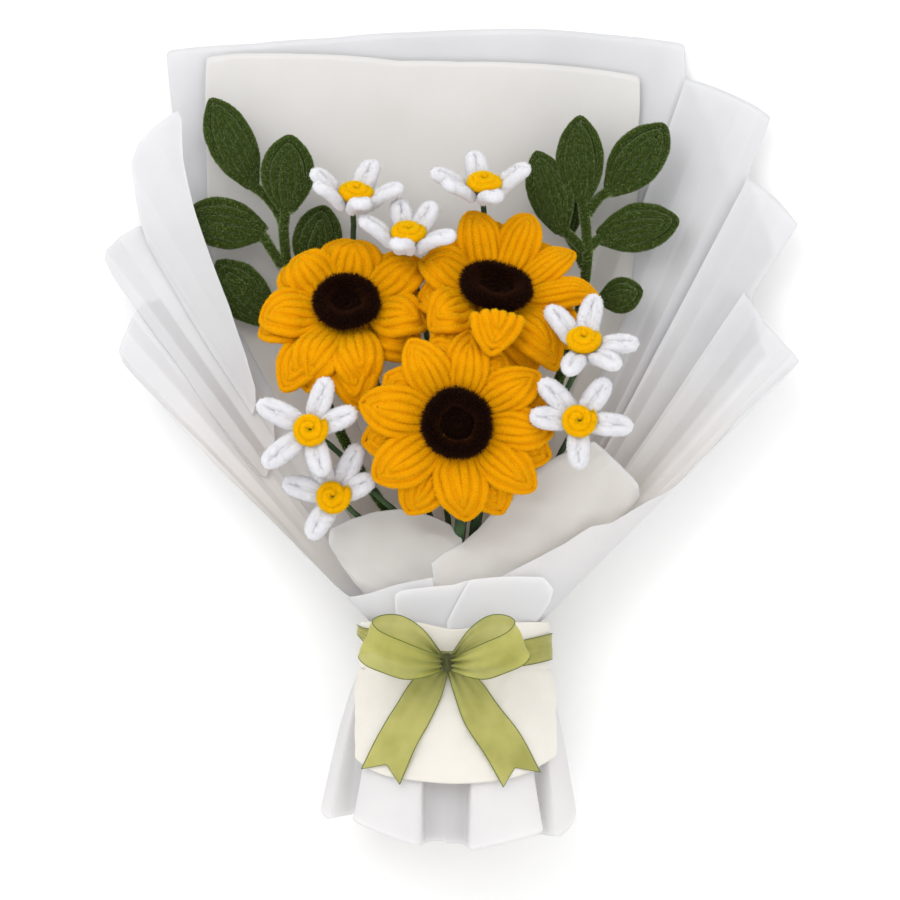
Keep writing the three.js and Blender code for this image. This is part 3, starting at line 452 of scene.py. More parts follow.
def add_chenille(shape, path, rng, radius, density,
                 up=(0, 0, 1), pile=0.5, thick=0.19, painted_flank_shade=0):
    """A chenille strand: a soft core, and pile that stands out of it all round.

    radius is a number, or one for each point of the path. density is in fibres for each square
    millimetre, pile how far they stand out, and thick how thick they are. The pile is thinner
    on the side that faces away from up. grooved is how strongly painted shade darkens its
    flanks, where it faces away from up and lies close beside other strands.
    """
    path = np.asarray(path, float)
    path = resample(np.column_stack([path, np.broadcast_to(radius, len(path))]), 1.1)
    radius = path[:, 3]
    path = path[:, :3]
    count, sides = len(path), 9
    along = np.arange(count) / (count - 1)
    length = np.sum(np.linalg.norm(np.diff(path, axis=0), axis=1))
    from_end = np.minimum(along, 1 - along) * length / (0.9 * radius)
    taper = np.sqrt(np.clip(1 - np.clip(1 - from_end, 0, 1) ** 2, 0.1, 1))
    lumps = 1 + 0.05 * rng.normal(size=(count, sides))
    core = (0.86 * radius * taper)[:, None] * lumps
    # The core carries the pile's painted shade colour, as the dark between its fibres.
    tangent, normal, binormal = add_tube(shape, path, core, sides)

    fibres = int(density * TURN * radius.mean() * length)
    chance = np.cumsum(radius) / radius.sum()
    at = np.interp(rng.uniform(0, 1, fibres), np.concatenate([[0], chance]), np.arange(count + 1))
    at = np.clip(at, 0, count - 1.001)
    i = at.astype(int)
    share = (at - i)[:, None]
    angle = rng.uniform(0, TURN, fibres)[:, None]
    centre = lerp(path[i], path[i + 1], share)
    out = normal[i] * np.cos(angle) + binormal[i] * np.sin(angle)
    facing = out @ unit(np.asarray(up, float))
    kept = (facing > -0.35) | (rng.uniform(size=fibres) < 0.3)
    centre, out, i, facing = centre[kept], out[kept], i[kept], facing[kept]
    fibres = len(out)
    size = (radius[i] * lerp(taper[i], 1, 0.25))[:, None]
    lean = tangent[i] * rng.normal(0, 0.4, (fibres, 1)) + rng.normal(0, 0.22, (fibres, 3))
    grow = unit(out + lean)
    base = centre + out * size * 0.7
    tip = base + grow * (size * 0.3 + pile * rng.uniform(0.15, 1.0, (fibres, 1)))
    side = unit(np.cross(grow, tangent[i] + 0.01))
    other = np.cross(grow, side)
    width = thick * rng.uniform(0.6, 1.2, (fibres, 1))
    corners = np.stack([
        base + side * width,
        base - 0.5 * side * width + 0.87 * other * width,
        base - 0.5 * side * width - 0.87 * other * width,
        tip,
    ], axis=1)
    start = np.arange(fibres)[:, None] * 4
    faces = np.stack([
        np.hstack([start, start + 1, start + 3]),
        np.hstack([start + 1, start + 2, start + 3]),
        np.hstack([start + 2, start, start + 3]),
        np.hstack([start + 1, start, start + 2]),
    ], axis=1)
    shade = np.repeat(rng.uniform(0, 1, fibres), 4)
    # Painted shade: each fibre is darker at its root than at its tip, and pile that faces away from
    # up is darker still.
    light = lerp(1, np.clip(0.1 + 1.1 * facing, 0.05, 1), painted_flank_shade)
    tips = light[:, None] * [0.3, 0.3, 0.3, 1.0]
    shape.add(corners, triangles=faces, tip=tips.ravel(), shade=shade)


def add_blade(shape, length, widths, place, rng, fill=0.45, **pile):
    """A petal or leaf of nested loops of chenille, each one inside the one before.

    widths gives half its width at a share of its length. place puts points on it: how far
    along, how far across, and how far above its middle surface. A web of pile fills the
    grooves between the strands up to fill of a strand's radius.
    """
    widest = widths(np.linspace(0, 1, 60)).max()
    strand = widest / (2 * STRANDS)
    t = 1 - (1 - np.linspace(0, 1, 30)) ** 1.8
    for k in range(STRANDS):
        share = 1 - (2 * k + 1) * strand / widest
        tip = length - strand * (1 + 1.9 * k)
        x, y = tip * t, share * widths(t)
        slack = 0.12 * strand * rng.normal(size=2)
        outline = np.concatenate([np.stack([x, y + slack[0] * t], axis=1),
                                  np.stack([x, -y + slack[1] * t], axis=1)[::-1][1:]])
        narrow = np.clip(widths(outline[:, 0] / tip) / widest, 0.5, 1)
        strand_path = place(outline[:, 0], outline[:, 1])
        add_chenille(shape, strand_path, rng, 1.2 * strand * narrow ** 0.5, painted_flank_shade=0.8, **pile)
    # The web has no fibres: it carries the pile's painted shade colour, as the dark deep in the
    # grooves.
    along, across = np.meshgrid(np.linspace(0, 1, 26), np.linspace(-1, 1, 9))
    x = along * (length - strand)
    y = across * (widths(along) - 0.8 * strand)
    faces = [place(x.ravel(), y.ravel(), lift * strand) for lift in (-0.3, fill)]
    add_plate(shape, *(face.reshape(*x.shape, 3) for face in faces))


LOOP_POINTS = 36


def loop_outline(length, half):
    """A daisy petal's loop: from the root, round the tip, to the root, in x and y."""
    s = 1 - (1 - np.linspace(0, 1, LOOP_POINTS)) ** 2
    swell = 0.6 + 0.4 * np.sin(np.pi / 2 * np.clip(s / 0.6, 0, 1))
    width = half * swell * np.maximum(1 - s ** 4, 0) ** 0.42
    right = np.stack([length * s, width], axis=1)
    left = right[::-1][1:] * [1, -1]
    return np.vstack([right, left])


def turned(up, side):
    """The turn that tilts a bloom up towards +Y and side towards +X, in degrees."""
    up, side = math.radians(-up), math.radians(side)
    tilt = np.array([
        [1, 0, 0],
        [0, math.cos(up), -math.sin(up)],
        [0, math.sin(up), math.cos(up)],
    ])
    lean = np.array([
        [math.cos(side), 0, math.sin(side)],
        [0, 1, 0],
        [-math.sin(side), 0, math.cos(side)],
    ])
    return tilt @ lean


def bloom_frame(bloom):
    """How a bloom is turned, where its middle is and which way it faces."""
    matrix = turned(bloom["up"], bloom["side"])
    return matrix, np.array(bloom["at"], float), matrix @ np.array([0, 0, 1])


def about_axis(path, angle):
    c, s = math.cos(math.radians(angle)), math.sin(math.radians(angle))
    return path @ np.array([[c, s, 0], [-s, c, 0], [0, 0, 1]])

# ---------------------------------------------------------------- materials


def add_node(tree, kind, inputs=(), **settings):
    """A node whose inputs, by name or number, are set to values or linked to other sockets."""
    node = tree.nodes.new("ShaderNode" + kind)
    for name, value in settings.items():
        setattr(node, name, value)
    for key, value in dict(inputs).items():
        if isinstance(value, bpy.types.NodeSocket):
            tree.links.new(value, node.inputs[key])
        else:
            node.inputs[key].default_value = value
    return node


def new_material(name):
    material = bpy.data.materials.new(name)
    material.use_nodes = True
    material.node_tree.nodes.clear()
    return material, material.node_tree


def finish_material(tree, surface):
    add_node(tree, "OutputMaterial", {"Surface": surface.outputs[0]})


def object_noise(tree, scale, detail):
    where = add_node(tree, "TexCoord").outputs["Object"]
    inputs = {"Scale": scale, "Detail": detail, "Roughness": 0.55, "Vector": where}
    return add_node(tree, "TexNoise", inputs).outputs


def ramp(tree, source, *stops):
    """The colour of the first stop below its place, and of the second above its own."""
    node = add_node(tree, "ValToRGB", {"Fac": source})
    for element, (place, colour) in zip(node.color_ramp.elements, stops):
        element.position = place
        element.color = (*colour, 1)
    return node.outputs["Color"]


def mixed(tree, factor, a, b, blend="MIX"):
    """Colour a where the factor is 0, and b where it is 1."""
    inputs = {0: factor}
    for key, colour in ((6, a), (7, b)):
        inputs[key] = colour if isinstance(colour, bpy.types.NodeSocket) else (*colour, 1)
    return add_node(tree, "Mix", inputs, data_type="RGBA", blend_type=blend).outputs[2]


def mark(tree, name):
    return add_node(tree, "Attribute", attribute_name=name).outputs["Fac"]


def bump(tree, height, strength, distance):
    inputs = {"Strength": strength, "Distance": distance, "Height": height}
    return add_node(tree, "Bump", inputs).outputs["Normal"]


def thin_surface(tree, shader, glow, through_light, clear):
    """A sheet that lets light through, and shows a little of what lies behind it."""
    lit = add_node(tree, "MixShader", {0: through_light, 1: shader.outputs[0], 2: glow.outputs[0]})
    see = add_node(tree, "BsdfTransparent")
    whole = add_node(tree, "MixShader", {0: clear, 1: lit.outputs[0], 2: see.outputs[0]})
    finish_material(tree, whole)


def chenille_material(name, dark, middle, bright, sheen=0.3, tint=(1, 1, 1)):
    """Pile with painted shade between its fibres; no two fibres have quite the same tone."""
    material, tree = new_material(name)
    patches = ramp(tree, object_noise(tree, 160, 4)["Fac"], (0.3, middle), (0.7, bright))
    single = ramp(tree, mark(tree, "shade"), (0, middle), (0.55, bright))
    # Painted shade: the colour runs from dark at the roots of the fibres and in the core to the
    # pile's own tones at the tips. A bare tube, such as a ribbon's wired edge, shows dark as its
    # own colour.
    colour = mixed(tree, mark(tree, "tip"), dark, mixed(tree, 0.5, patches, single))
    finish_material(tree, add_node(tree, "BsdfPrincipled", {
        "Base Color": colour, "Roughness": 0.9, "Specular IOR Level": 0.05, "Sheen Weight": sheen,
        "Sheen Roughness": 0.45, "Sheen Tint": (*tint, 1)}))
    return material


def paper_material(name, light, shade, painted_inner_shade, through_light, clear, crease=0.12):
    """Thin wrapping paper: light comes through it, and a little can be seen through it.

    It has a painted highlight along its cut edges, painted shade between the flutes, and warm
    painted shade deep inside the cone, which stands for the colour of the flowers' light there.
    """
    material, tree = new_material(name)
    plain = ramp(tree, object_noise(tree, 14, 4)["Fac"], (0.35, shade), (0.65, light))
    # Painted shade, warm, deep inside the cone and on the skirt's inner face.
    inside = mixed(tree, mark(tree, "shade"), plain, painted_inner_shade)
    # Painted shade, grey, between the flutes.
    recess_shade_factor = {0: mark(tree, "shade"), 1: -1}
    recess_shade_factor = add_node(tree, "Math", recess_shade_factor, operation="MULTIPLY", use_clamp=True).outputs[0]
    inside = mixed(tree, recess_shade_factor, inside, (0.6, 0.6, 0.615))
    # Painted highlight along the cut edges.
    colour = mixed(tree, mark(tree, "tip"), inside, (0.93, 0.93, 0.935))
    soft, fine = object_noise(tree, 60, 3)["Color"], object_noise(tree, 900, 2)["Color"]
    normal = bump(tree, mixed(tree, 0.25, soft, fine), crease, 0.001)
    shader = add_node(tree, "BsdfPrincipled", {
        "Base Color": colour, "Roughness": 0.55, "Specular IOR Level": 0.3, "Sheen Weight": 0.05,
        "Normal": normal})
    glow = add_node(tree, "BsdfTranslucent", {"Color": colour, "Normal": normal})
    thin_surface(tree, shader, glow, through_light, clear)
    return material


def organza_material(name, light, shade, clear):
    """Sheer woven ribbon: fine threads both ways, and painted shade near the knot."""
    material, tree = new_material(name)
    flat = add_node(tree, "UVMap", uv_map="cloth").outputs["UV"]
    threads = {"Scale": 0.55, "Distortion": 0.6, "Detail": 1.0, "Vector": flat}
    warp, weft = (add_node(tree, "TexWave", threads, bands_direction=way) for way in "XY")
    weave = mixed(tree, 0.5, warp.outputs["Color"], weft.outputs["Color"], "ADD")
    colour = ramp(tree, object_noise(tree, 45, 3)["Fac"], (0.35, shade), (0.65, light))
    # Painted shade near the knot, where the ribbon lies gathered.
    colour = mixed(tree, mark(tree, "shade"), colour, (0.12, 0.15, 0.025))
    shader = add_node(tree, "BsdfPrincipled", {
        "Base Color": colour, "Roughness": 0.42, "Sheen Weight": 0.4, "Sheen Roughness": 0.3,
        "Anisotropic": 0.5, "Normal": bump(tree, weave, 0.25, 0.0002)})
    glow = add_node(tree, "BsdfTranslucent", {"Color": colour})
    thin_surface(tree, shader, glow, 0.35, clear)
    return material


def tape_material():
    material, tree = new_material("stem_tape")
    patches = object_noise(tree, 120, 4)["Fac"]
    colour = ramp(tree, patches, (0.35, (0.016, 0.04, 0.012)), (0.7, (0.045, 0.1, 0.03)))
    finish_material(tree, add_node(tree, "BsdfPrincipled", {
        "Base Color": colour, "Roughness": 0.75, "Normal": bump(tree, patches, 0.4, 0.0004)}))
    return material


# The first colour of each pile is painted shade, at the roots of its fibres and in its core; the
# ribbon's wired edge is a bare tube and shows its first colour as its own.
YELLOW = chenille_material(
    "sunflower_pile", (0.7, 0.28, 0), (0.95, 0.57, 0), (1, 0.75, 0.001), tint=(1, 0.75, 0.05))
CENTRE = chenille_material(
    "daisy_centre_pile", (0.76, 0.36, 0), (0.96, 0.62, 0), (1, 0.84, 0.001), tint=(1, 0.8, 0.05))
BROWN = chenille_material(
    "disc_pile", (0.003, 0.0005, 0.0002), (0.012, 0.0025, 0.0008), (0.04, 0.012, 0.004),
    sheen=0.03, tint=(0.8, 0.4, 0.2))
WHITE = chenille_material("daisy_pile", (0.66, 0.66, 0.69), (0.8, 0.8, 0.83), (0.89, 0.89, 0.905))
GREEN = chenille_material(
    "leaf_pile", (0.02, 0.034, 0.003), (0.15, 0.225, 0.05), (0.34, 0.46, 0.16),
    sheen=0.35, tint=(0.85, 1, 0.6))
TAPE = tape_material()
# The third colour of each paper is painted shade, warm, for where it lies deep inside the cone.
WRAP = paper_material(
    "wrap_paper", (0.83, 0.83, 0.84), (0.78, 0.78, 0.795), (0.92, 0.88, 0.84),
    through_light=0.4, clear=0.06)
LINER = paper_material(
    "liner_paper", (0.79, 0.775, 0.755), (0.74, 0.725, 0.7), (0.74, 0.68, 0.62),
    through_light=0.25, clear=0)
TISSUE = paper_material(
    "tissue_paper", (0.86, 0.85, 0.835), (0.8, 0.785, 0.76), (0.84, 0.8, 0.76),
    through_light=0.45, clear=0.12)
# A lighter copy of the tissue paper, for the right front flap: painted light.
LIT_TISSUE = paper_material(
    "lit_tissue_paper", (0.93, 0.915, 0.89), (0.88, 0.86, 0.83), (0.9, 0.86, 0.81),
    through_light=0.45, clear=0.1)
CUFF_PAPER = paper_material(
    "cuff_paper", (0.9, 0.87, 0.81), (0.85, 0.82, 0.76), (0.85, 0.82, 0.76),
    through_light=0.3, clear=0.04, crease=0.3)
ORGANZA = organza_material("organza", (0.63, 0.61, 0.19), (0.48, 0.47, 0.11), clear=0.3)
# The knot is the ribbon's organza in darker tones: painted shade of its tight, many-layered
# gathers.
SHADED_KNOT_CLOTH = organza_material("shaded_organza_knot", (0.1, 0.115, 0.02), (0.05, 0.055, 0.01), clear=0.02)
RIBBON_EDGE = chenille_material(
    "ribbon_edge", (0.1, 0.13, 0.02), (0.2, 0.24, 0.04), (0.3, 0.34, 0.07))

# ---------------------------------------------------------------- blooms


def petal_width(t):
    """Half the width of a petal, as a share of its widest."""
    root = 0.42 + 0.58 * np.sin(np.pi / 2 * np.clip(t / 0.45, 0, 1))
    end = np.maximum(1 - np.clip((t - 0.45) / 0.55, 0, 1) ** 2.3, 0) ** 0.72
    return np.where(t < 0.45, root, end)


def sunflower_petal(shape, bloom, petal, widen, depth, longer, rng):
    """One petal that arches up beside the disc and then droops by petal's droop."""
    angle, reach, droop, *standing = petal
    root = PETAL["root"]
    half = PETAL["half"] * widen
    length = reach + longer - root
    clear = (PETAL["disc_radius"] + 1 - root) / length
    matrix, at, up = bloom_frame(bloom)
    roll = rng.normal(0, 0.05)
    bend = rng.normal(0, 1.4)

    def place(x, y, lift=0):
        t = x / length
        out = np.clip((t - clear) / (1 - clear), 0, 1)
        if standing:
            rise, crest = standing
            height = rise * np.sin(np.pi / 2 * np.clip(out / crest, 0, 1))
            height = height - droop * np.clip((out - crest) / (1 - crest), 0, 1) ** 1.5
        else:
            height = PETAL["arch"] * np.sin(0.62 * np.pi * smoothstep(out, 0, 1)) - droop * out ** 2
        bulge = PETAL["crown"] * (1 - (y / half) ** 2) * np.sin(np.pi * np.clip(t, 0, 1) ** 0.8)
        z = depth + height + bulge - PETAL["crown"] / 2 + y * roll + lift
        points = about_axis(np.stack([x + root, y + bend * t * t, z], axis=1), angle)
        points += 0.25 * np.stack([ripples(points, 14, s) for s in (1, 2, 3)], axis=1)
        return points @ matrix.T + at

    add_blade(shape, length, lambda t: half * petal_width(t), place, rng,
              up=up, density=2.3, pile=0.7)


def spiral(turns, first, last, height, count=160):
    """A flat coil from its middle outwards; height gives z from the share of the radius."""
    t = np.linspace(0, 1, count)
    r = lerp(first, last, t ** 0.85)
    a = t * turns * TURN
    return np.stack([r * np.cos(a), r * np.sin(a), height(r / last)], axis=1)


def sunflower(name, bloom, seed):
    rng = np.random.default_rng(seed)
    matrix, at, up = bloom_frame(bloom)
    for layer, depth, longer in (("front", -6.4, 3), ("back", -13, 4.5)):
        petals = Shape()
        row = bloom[layer]
        for k, petal in enumerate(row):
            beside = (row[k - 1], row[(k + 1) % len(row)])
            gap = min(abs((other[0] - petal[0] + 540) % 360 - 180) for other in beside)
            widen = min(1, gap / PETAL["whole_from"])
            sunflower_petal(petals, bloom, petal, widen, depth, longer, rng)
        if layer == "back":
            core = spiral(2.2, 3, 11.5, lambda r: -9.5 - 3.5 * r)
            add_chenille(petals, core @ matrix.T + at, rng, radius=3.2, density=0.5, up=up)
        petals.build(f"sunflower_{name}_{layer}_pile", YELLOW,
                     [f"sunflower_{name}_petals"])

    disc = Shape()
    seated = (matrix @ turned(bloom["disc_up"], 0) * bloom["disc_size"]).T
    ring = spiral(1.02, 13.6, 13.61, lambda r: 1.3 + 0 * r, 120)
    ring = ring + 0.7 * ripples(ring, 18, seed)[:, None] * unit(ring * [1, 1, 0])
    add_chenille(disc, ring @ seated + at, rng, radius=4.4, density=3.8, up=up,
                 pile=2.2, thick=0.2)
    coil = spiral(2.6, 0.4, 8.8, lambda r: -3.2 + 1.6 * r ** 3)
    add_chenille(disc, coil @ seated + at, rng, radius=2.6, density=3, up=up,
                 pile=0.8, thick=0.18)
    disc.build(f"sunflower_{name}_coil", BROWN, [f"sunflower_{name}_disc"])
    add_flower_stem(f"sunflower_{name}_stem", bloom, radius=3, start=-15.8, straight=8)


def daisy(number, bloom, seed):
    rng = np.random.default_rng(seed)
    matrix, at, up = bloom_frame(bloom)
    root, radius = DAISY["root"], DAISY["strand"]
    petals = Shape()
    for angle, reach in bloom["petals"]:
        length = reach - root - radius + 1.2
        outline = loop_outline(length, DAISY["half"] + rng.normal(0, 0.12))
        t = outline[:, 0] / (length + radius)
        out = np.clip((t - 0.15) / 0.85, 0, 1)
        curl = rng.normal(0, 0.8)
        z = -2.4 + bloom["cup"] * (out - 0.35 * out ** 2) + 0.9 * np.sin(np.pi * t) + curl * t * t
        y = outline[:, 1] + rng.normal(0, 1.0) * t * t
        path = about_axis(np.stack([outline[:, 0] + root, y, z], axis=1), angle)
        add_chenille(petals, path @ matrix.T + at, rng, radius, density=2.4, up=up)
        seam = LOOP_POINTS // 2
        middle = 0.5 * (path[:seam] + path[:-seam - 1:-1]) - [0, 0, 0.2]
        add_chenille(petals, middle @ matrix.T + at, rng, DAISY["seam"], density=1.6, up=up)
    hub = spiral(1.3, 2, 4.6, lambda r: -2.2 - 0.6 * r, 60)
    add_chenille(petals, hub @ matrix.T + at, rng, radius=2.4, density=0.5, up=up)
    petals.build(f"daisy_{number}_pile", WHITE, [f"daisy_{number}_petals"])

    centre = Shape()
    coil = spiral(2.1, 0.9, DAISY["centre"], lambda r: 5.2 - 2.4 * r ** 2, 120)
    add_chenille(centre, coil @ matrix.T + at, rng, radius=2.7, density=3.8, up=up, pile=0.7)
    centre.build(f"daisy_{number}_coil", CENTRE, [f"daisy_{number}_centre"])
    add_flower_stem(f"daisy_{number}_stem", bloom, radius=1.5, start=-4.9, straight=4)


def bundle_run(slot, end):
    """Where a stem runs from the top of the bundle, in its slot, to its own end."""
    x, z = slot
    top, bottom, middle = BUNDLE["top"], BUNDLE["bottom"], BUNDLE["z"]
    return [
        (x * 1.15, top, middle + z * 1.15),
        (x, top - 10, middle + z),
        (x, (top + bottom) / 2, middle + z),
        (x, bottom, middle + z),
        (x * 1.3, end, middle + z * 1.3),
    ]


def add_flower_stem(node, bloom, radius, start, straight):
    """A stem bound in tape: it leaves the back of its bloom and bends into the bundle.

    start is where it begins on the bloom's axis, and straight how far it follows that.
    """
    _, at, axis = bloom_frame(bloom)
    path = catmull([at + axis * start, at + axis * (start - straight), *bloom["via"],
                    *bundle_run(bloom["slot"], bloom["end"])])
    along, sides = np.arange(len(path)) * STEP, 10
    wind = (along[:, None] / (radius * 5) + np.arange(sides)[None, :] / sides) % 1
    radii = radius * (0.93 + 0.09 * smoothstep(wind, 0, 0.75) * (1 - smoothstep(wind, 0.9, 1.0)))
    shape = Shape()
    add_tube(shape, path, radii, sides)
    shape.build(f"{node}_tape", TAPE, [node])


# ---------------------------------------------------------------- leaf sprays


def add_leaf(shape, leaf, rng):
    start, end = np.array(leaf[:2], float)
    length = np.linalg.norm(end - start) + LEAF["past_base"]
    along = unit(end - start)
    across = unit(np.cross([0, 0, 1], along))
    up = np.cross(along, across)
    start = start - LEAF["past_base"] * along
    half = leaf[2] + LEAF["past_side"]
    bend = rng.normal(0, 0.8)

    def place(x, y, lift=0):
        t = np.clip(x / length, 0, 1)
        z = (LEAF["arch"] + LEAF["crown"] * (1 - (y / half) ** 2)) * np.sin(np.pi * t) + lift
        y = y + 4 * bend * t * (1 - t)
        points = start + x[:, None] * along + y[:, None] * across + z[:, None] * up
        return points + 0.2 * np.stack([ripples(points, 12, s) for s in (4, 5, 6)], axis=1)

    def widths(t):
        t = np.clip(t, 0, 1)
        root = 0.16 + 0.84 * np.sin(np.pi * np.minimum(t, 0.5)) ** 0.9
        return half * root * np.maximum(1 - np.clip(2 * t - 1, 0, 1) ** 2.2, 0) ** 0.75

    add_blade(shape, length, widths, place, rng,
              fill=0.1, up=up, pile=0.4, density=2.3, thick=0.18)


def leaf_spray(side, spray, seed):
    rng = np.random.default_rng(seed)
    shape = Shape()
    main = catmull([*spray["stem"], *bundle_run(spray["slot"], -146)])
    add_chenille(shape, main, rng, radius=3, density=1.4, pile=0.7)
    for branch in spray["branches"]:
        add_chenille(shape, catmull(branch), rng, radius=2.9, density=2, pile=0.7)
    for leaf in spray["leaves"]:
        add_leaf(shape, leaf, rng)
    shape.build(f"leaf_spray_{side}_pile", GREEN, [f"leaf_spray_{side}"])


# ---------------------------------------------------------------- the paper cone

# Pleats run along the rays of the cone: (angle, half width in degrees, height). The paper
# is creased at the middle of each one. PLEAT_HEIGHT scales all the heights.
PLEATS = [
    (-174, 3, -1.5), (-168, 4, 2.6), (-161.5, 2.5, -2.0), (-155.5, 2.6, 3.0), (-151, 1.6, -1.6),
    (-147, 2.2, 2.6), (-142.8, 1.8, -2.2), (-138.6, 2.0, 2.2), (-135, 1.4, -1.6), (-131, 2.2, 2.2),
    (-118, 3.4, 1.0), (-104, 4.5, 0.8), (-91, 4, 0.9), (-78, 3.6, 0.8), (-66, 2.4, 1.4),
    (-61.5, 1.6, 1.8), (-57, 2.0, 1.6), (-53.5, 1.2, -1.0), (-50.8, 1.3, 2.4), (-47.6, 1.4, -2.0),
    (-44.5, 1.6, 2.6), (-41, 1.6, -2.0), (-37, 1.5, 2.6), (-33, 2, -1.8), (-28, 2.4, 2.6),
    (-22, 2.4, -1.8), (-15.5, 3, 2.4), (-8, 3, -1.8), (0, 4, 2.4), (10, 4, -1.6), (24, 6, 2.0),
    (44, 5, -1.6), (62, 6, 2.0), (84, 6, -1.6), (104, 6, 2.0), (128, 6, -1.6), (150, 6, 2.0),
]


PLEAT_HEIGHT = 0.7


def pleats(angle, reach):
    """How far the paper stands in from the plain cone."""
    height = np.zeros(np.broadcast(angle, reach).shape)
    for turn in (0, -360):
        for centre, half, rise in PLEATS:
            away = np.abs((angle - turn - centre) / half)
            height = height + PLEAT_HEIGHT * rise * np.exp(-away ** 1.35)
    height = height * smoothstep(reach, 20, 190)
    resting = np.abs(angle + 90) < 36
    return np.where(resting, np.maximum(height, 0), height)


def cone_face(angle, reach):
    """The plain cone: angle runs round the waist, and reach is how far the paper is from it."""
    lean = CONE["side_lean"] * np.sign(cosd(angle)) * np.abs(cosd(angle)) ** CONE["lean_power"]
    at_side = (np.abs(angle + 90) - CONE["flat_angle"]) / (90 - CONE["flat_angle"])
    front = sind(angle) > 0
    open_z = np.where(front, CONE["side_height"] + CONE["front_rise"] * sind(angle),
                      CONE["side_height"] * np.clip(at_side, 0, 1))
    waist_z = WAIST["z"] + WAIST["half_depth"] * sind(angle)
    opening = smoothstep(reach, 0, CONE["opening_reach"])
    waves = np.clip(at_side, 0, 0.5) * sind(angle * 11) * smoothstep(reach, 60, 220)
    return np.stack([
        WAIST["half_width"] * cosd(angle) + reach * sind(lean),
        WAIST["y"] + reach * cosd(lean),
        lerp(waist_z, open_z, opening) + 2 * CONE["wave_height"] * np.where(front, 0, waves),
    ], axis=-1)


def off_surface(surface, a, b, distance, step=0.5):
    """The points that lie distance off a surface, towards its inside."""
    along_a = surface(a + step, b) - surface(a - step, b)
    along_b = surface(a, b + step) - surface(a, b - step)
    normal = unit(np.cross(along_a, along_b))
    return surface(a, b) + normal * np.asarray(distance)[..., None]


def paper_faces(surface, a, b, depth):
    """Both faces of paper that lies depth off a surface, and not lower than the floor."""
    faces = []
    for lift in (0, PAPER):
        face = off_surface(surface, a, b, depth + lift)
        face[..., 2] = np.maximum(face[..., 2], CLEARANCE + lift)
        faces.append(face)
    return faces


def edge_nearness(grid, free_root):
    """1 at the free edges of a sheet and 0 some millimetres in from them."""
    def run(points):
        """How far each point is along its column from the first row."""
        steps = np.linalg.norm(np.diff(points, axis=1), axis=2)
        return np.pad(np.cumsum(steps, axis=1), ((0, 0), (1, 0)))

    swapped = grid.swapaxes(0, 1)
    edges = [run(grid[:, ::-1])[:, ::-1], run(swapped).T, run(swapped[:, ::-1])[:, ::-1].T]
    if free_root:
        edges.append(run(grid))
    return np.exp(-(np.min(edges, axis=0) / 2.6) ** 1.3)


def paper_sheet(name, material, slot, seed, crumple=0, lip=0.5, rim=0.25):
    """A sheet of the cone.

    crumple is the depth of its own dents, inwards if above 0. lip is how far its edge turns
    inwards, and rim how strong the painted highlight along that edge is.
    """
    sheet = SHEETS[name]
    rays = np.array([(*ray, 0, 0, 0)[:5] for ray in sheet["rays"]], float)
    degrees = abs(rays[-1, 0] - rays[0, 0])
    at = np.linspace(0, len(rays) - 1, int(np.clip(3 * degrees, 110, 260)))
    angle, last, last_lift, first, first_lift = (through(column, at)[:, None] for column in rays.T)
    along = np.linspace(0, 1, 90)[None, :]
    reach = lerp(first, last, along)
    angle = np.broadcast_to(angle, reach.shape)
    settled = smoothstep(reach, 30, 150)
    depth = LAYER * lerp(sheet["layer"], sheet.get("settles_to", sheet["layer"]), settled)
    depth = depth + lerp(first_lift, last_lift, along ** 0.7) + CLEARANCE
    depth = depth + pleats(angle, reach)
    flat = cone_face(angle, reach)
    wrinkle = ripples(flat, 42, seed) * 0.22 + ripples(flat, 15, seed + 1) * 0.06
    depth = depth + (0.22 + wrinkle) * smoothstep(reach, 10, 60)
    if crumple:
        dents = ripples(flat, 34, 500) + 0.5 * ripples(flat, 17, 501)
        depth = depth + crumple * np.clip(1 + 0.7 * dents, 0, 2.4) * smoothstep(reach, 6, 30)
    near = edge_nearness(flat, rays[:, 3].max() > 0)
    depth = depth + lip * near * smoothstep(reach, 10, 40)
    # Painted shade: the inner face turns warm deep inside the cone.
    deep = smoothstep(reach, 175, 70) * smoothstep(reach, 12, 40) * 0.9
    faces = paper_faces(cone_face, angle, reach, depth)
    # The cut edges carry a painted highlight.
    plate_piece(f"{name}_paper", material, slot, [name], *faces,
                edge=rim * near, deep=(0 * deep, deep))


# ---------------------------------------------------------------- below the ribbon


def around(columns, rows):
    """The angle of each point of a closed grid."""
    return np.broadcast_to((np.arange(columns) * 360 / columns)[:, None], (columns, rows))


def flare(y):
    """How far the skirt has spread out: 0 at the waist and 1 at the hem."""
    return np.clip((SKIRT["flare_from"] - y) / (SKIRT["flare_from"] - SKIRT["hem"]), 0, 1) ** 0.7


def nearest_flute(turn):
    """Which flute is nearest to an angle, and how far away its middle is, in half widths."""
    turns = np.stack([(turn - flute + 540) % 360 - 180 for flute in SKIRT["flutes"]])
    which = np.abs(turns).argmin(axis=0)
    return which, np.take_along_axis(turns, which[None], axis=0)[0] / SKIRT["flute_half_angle"]


def skirt_face(angle, y, flute):
    """The skirt without its folds; flute says how far out it stands, from 0 to 1."""
    spread = flare(y)
    out = SKIRT["flute_depth"] * spread * flute
    width = lerp(WAIST["half_width"], SKIRT["half_width"], spread) + out
    depth = lerp(WAIST["half_depth"], SKIRT["half_depth"], spread) + out
    x = SKIRT["shift"] * spread + width * cosd(angle)
    z = lerp(WAIST["z"], SKIRT["z"], spread) + depth * sind(angle)
    return np.stack(np.broadcast_arrays(x, y, z), axis=-1)


def fluted(turn, y):
    """The skirt with flutes whose sides are tucked under them, as folded paper has."""
    which, away = nearest_flute(turn)
    raised = 1 - smoothstep(np.abs(away), 0.68, 1.02)
    angle = turn + np.array(SKIRT["overhangs"])[which] * away * raised * flare(y)
    return skirt_face(angle, y, raised - 0.9 * (1 - raised))


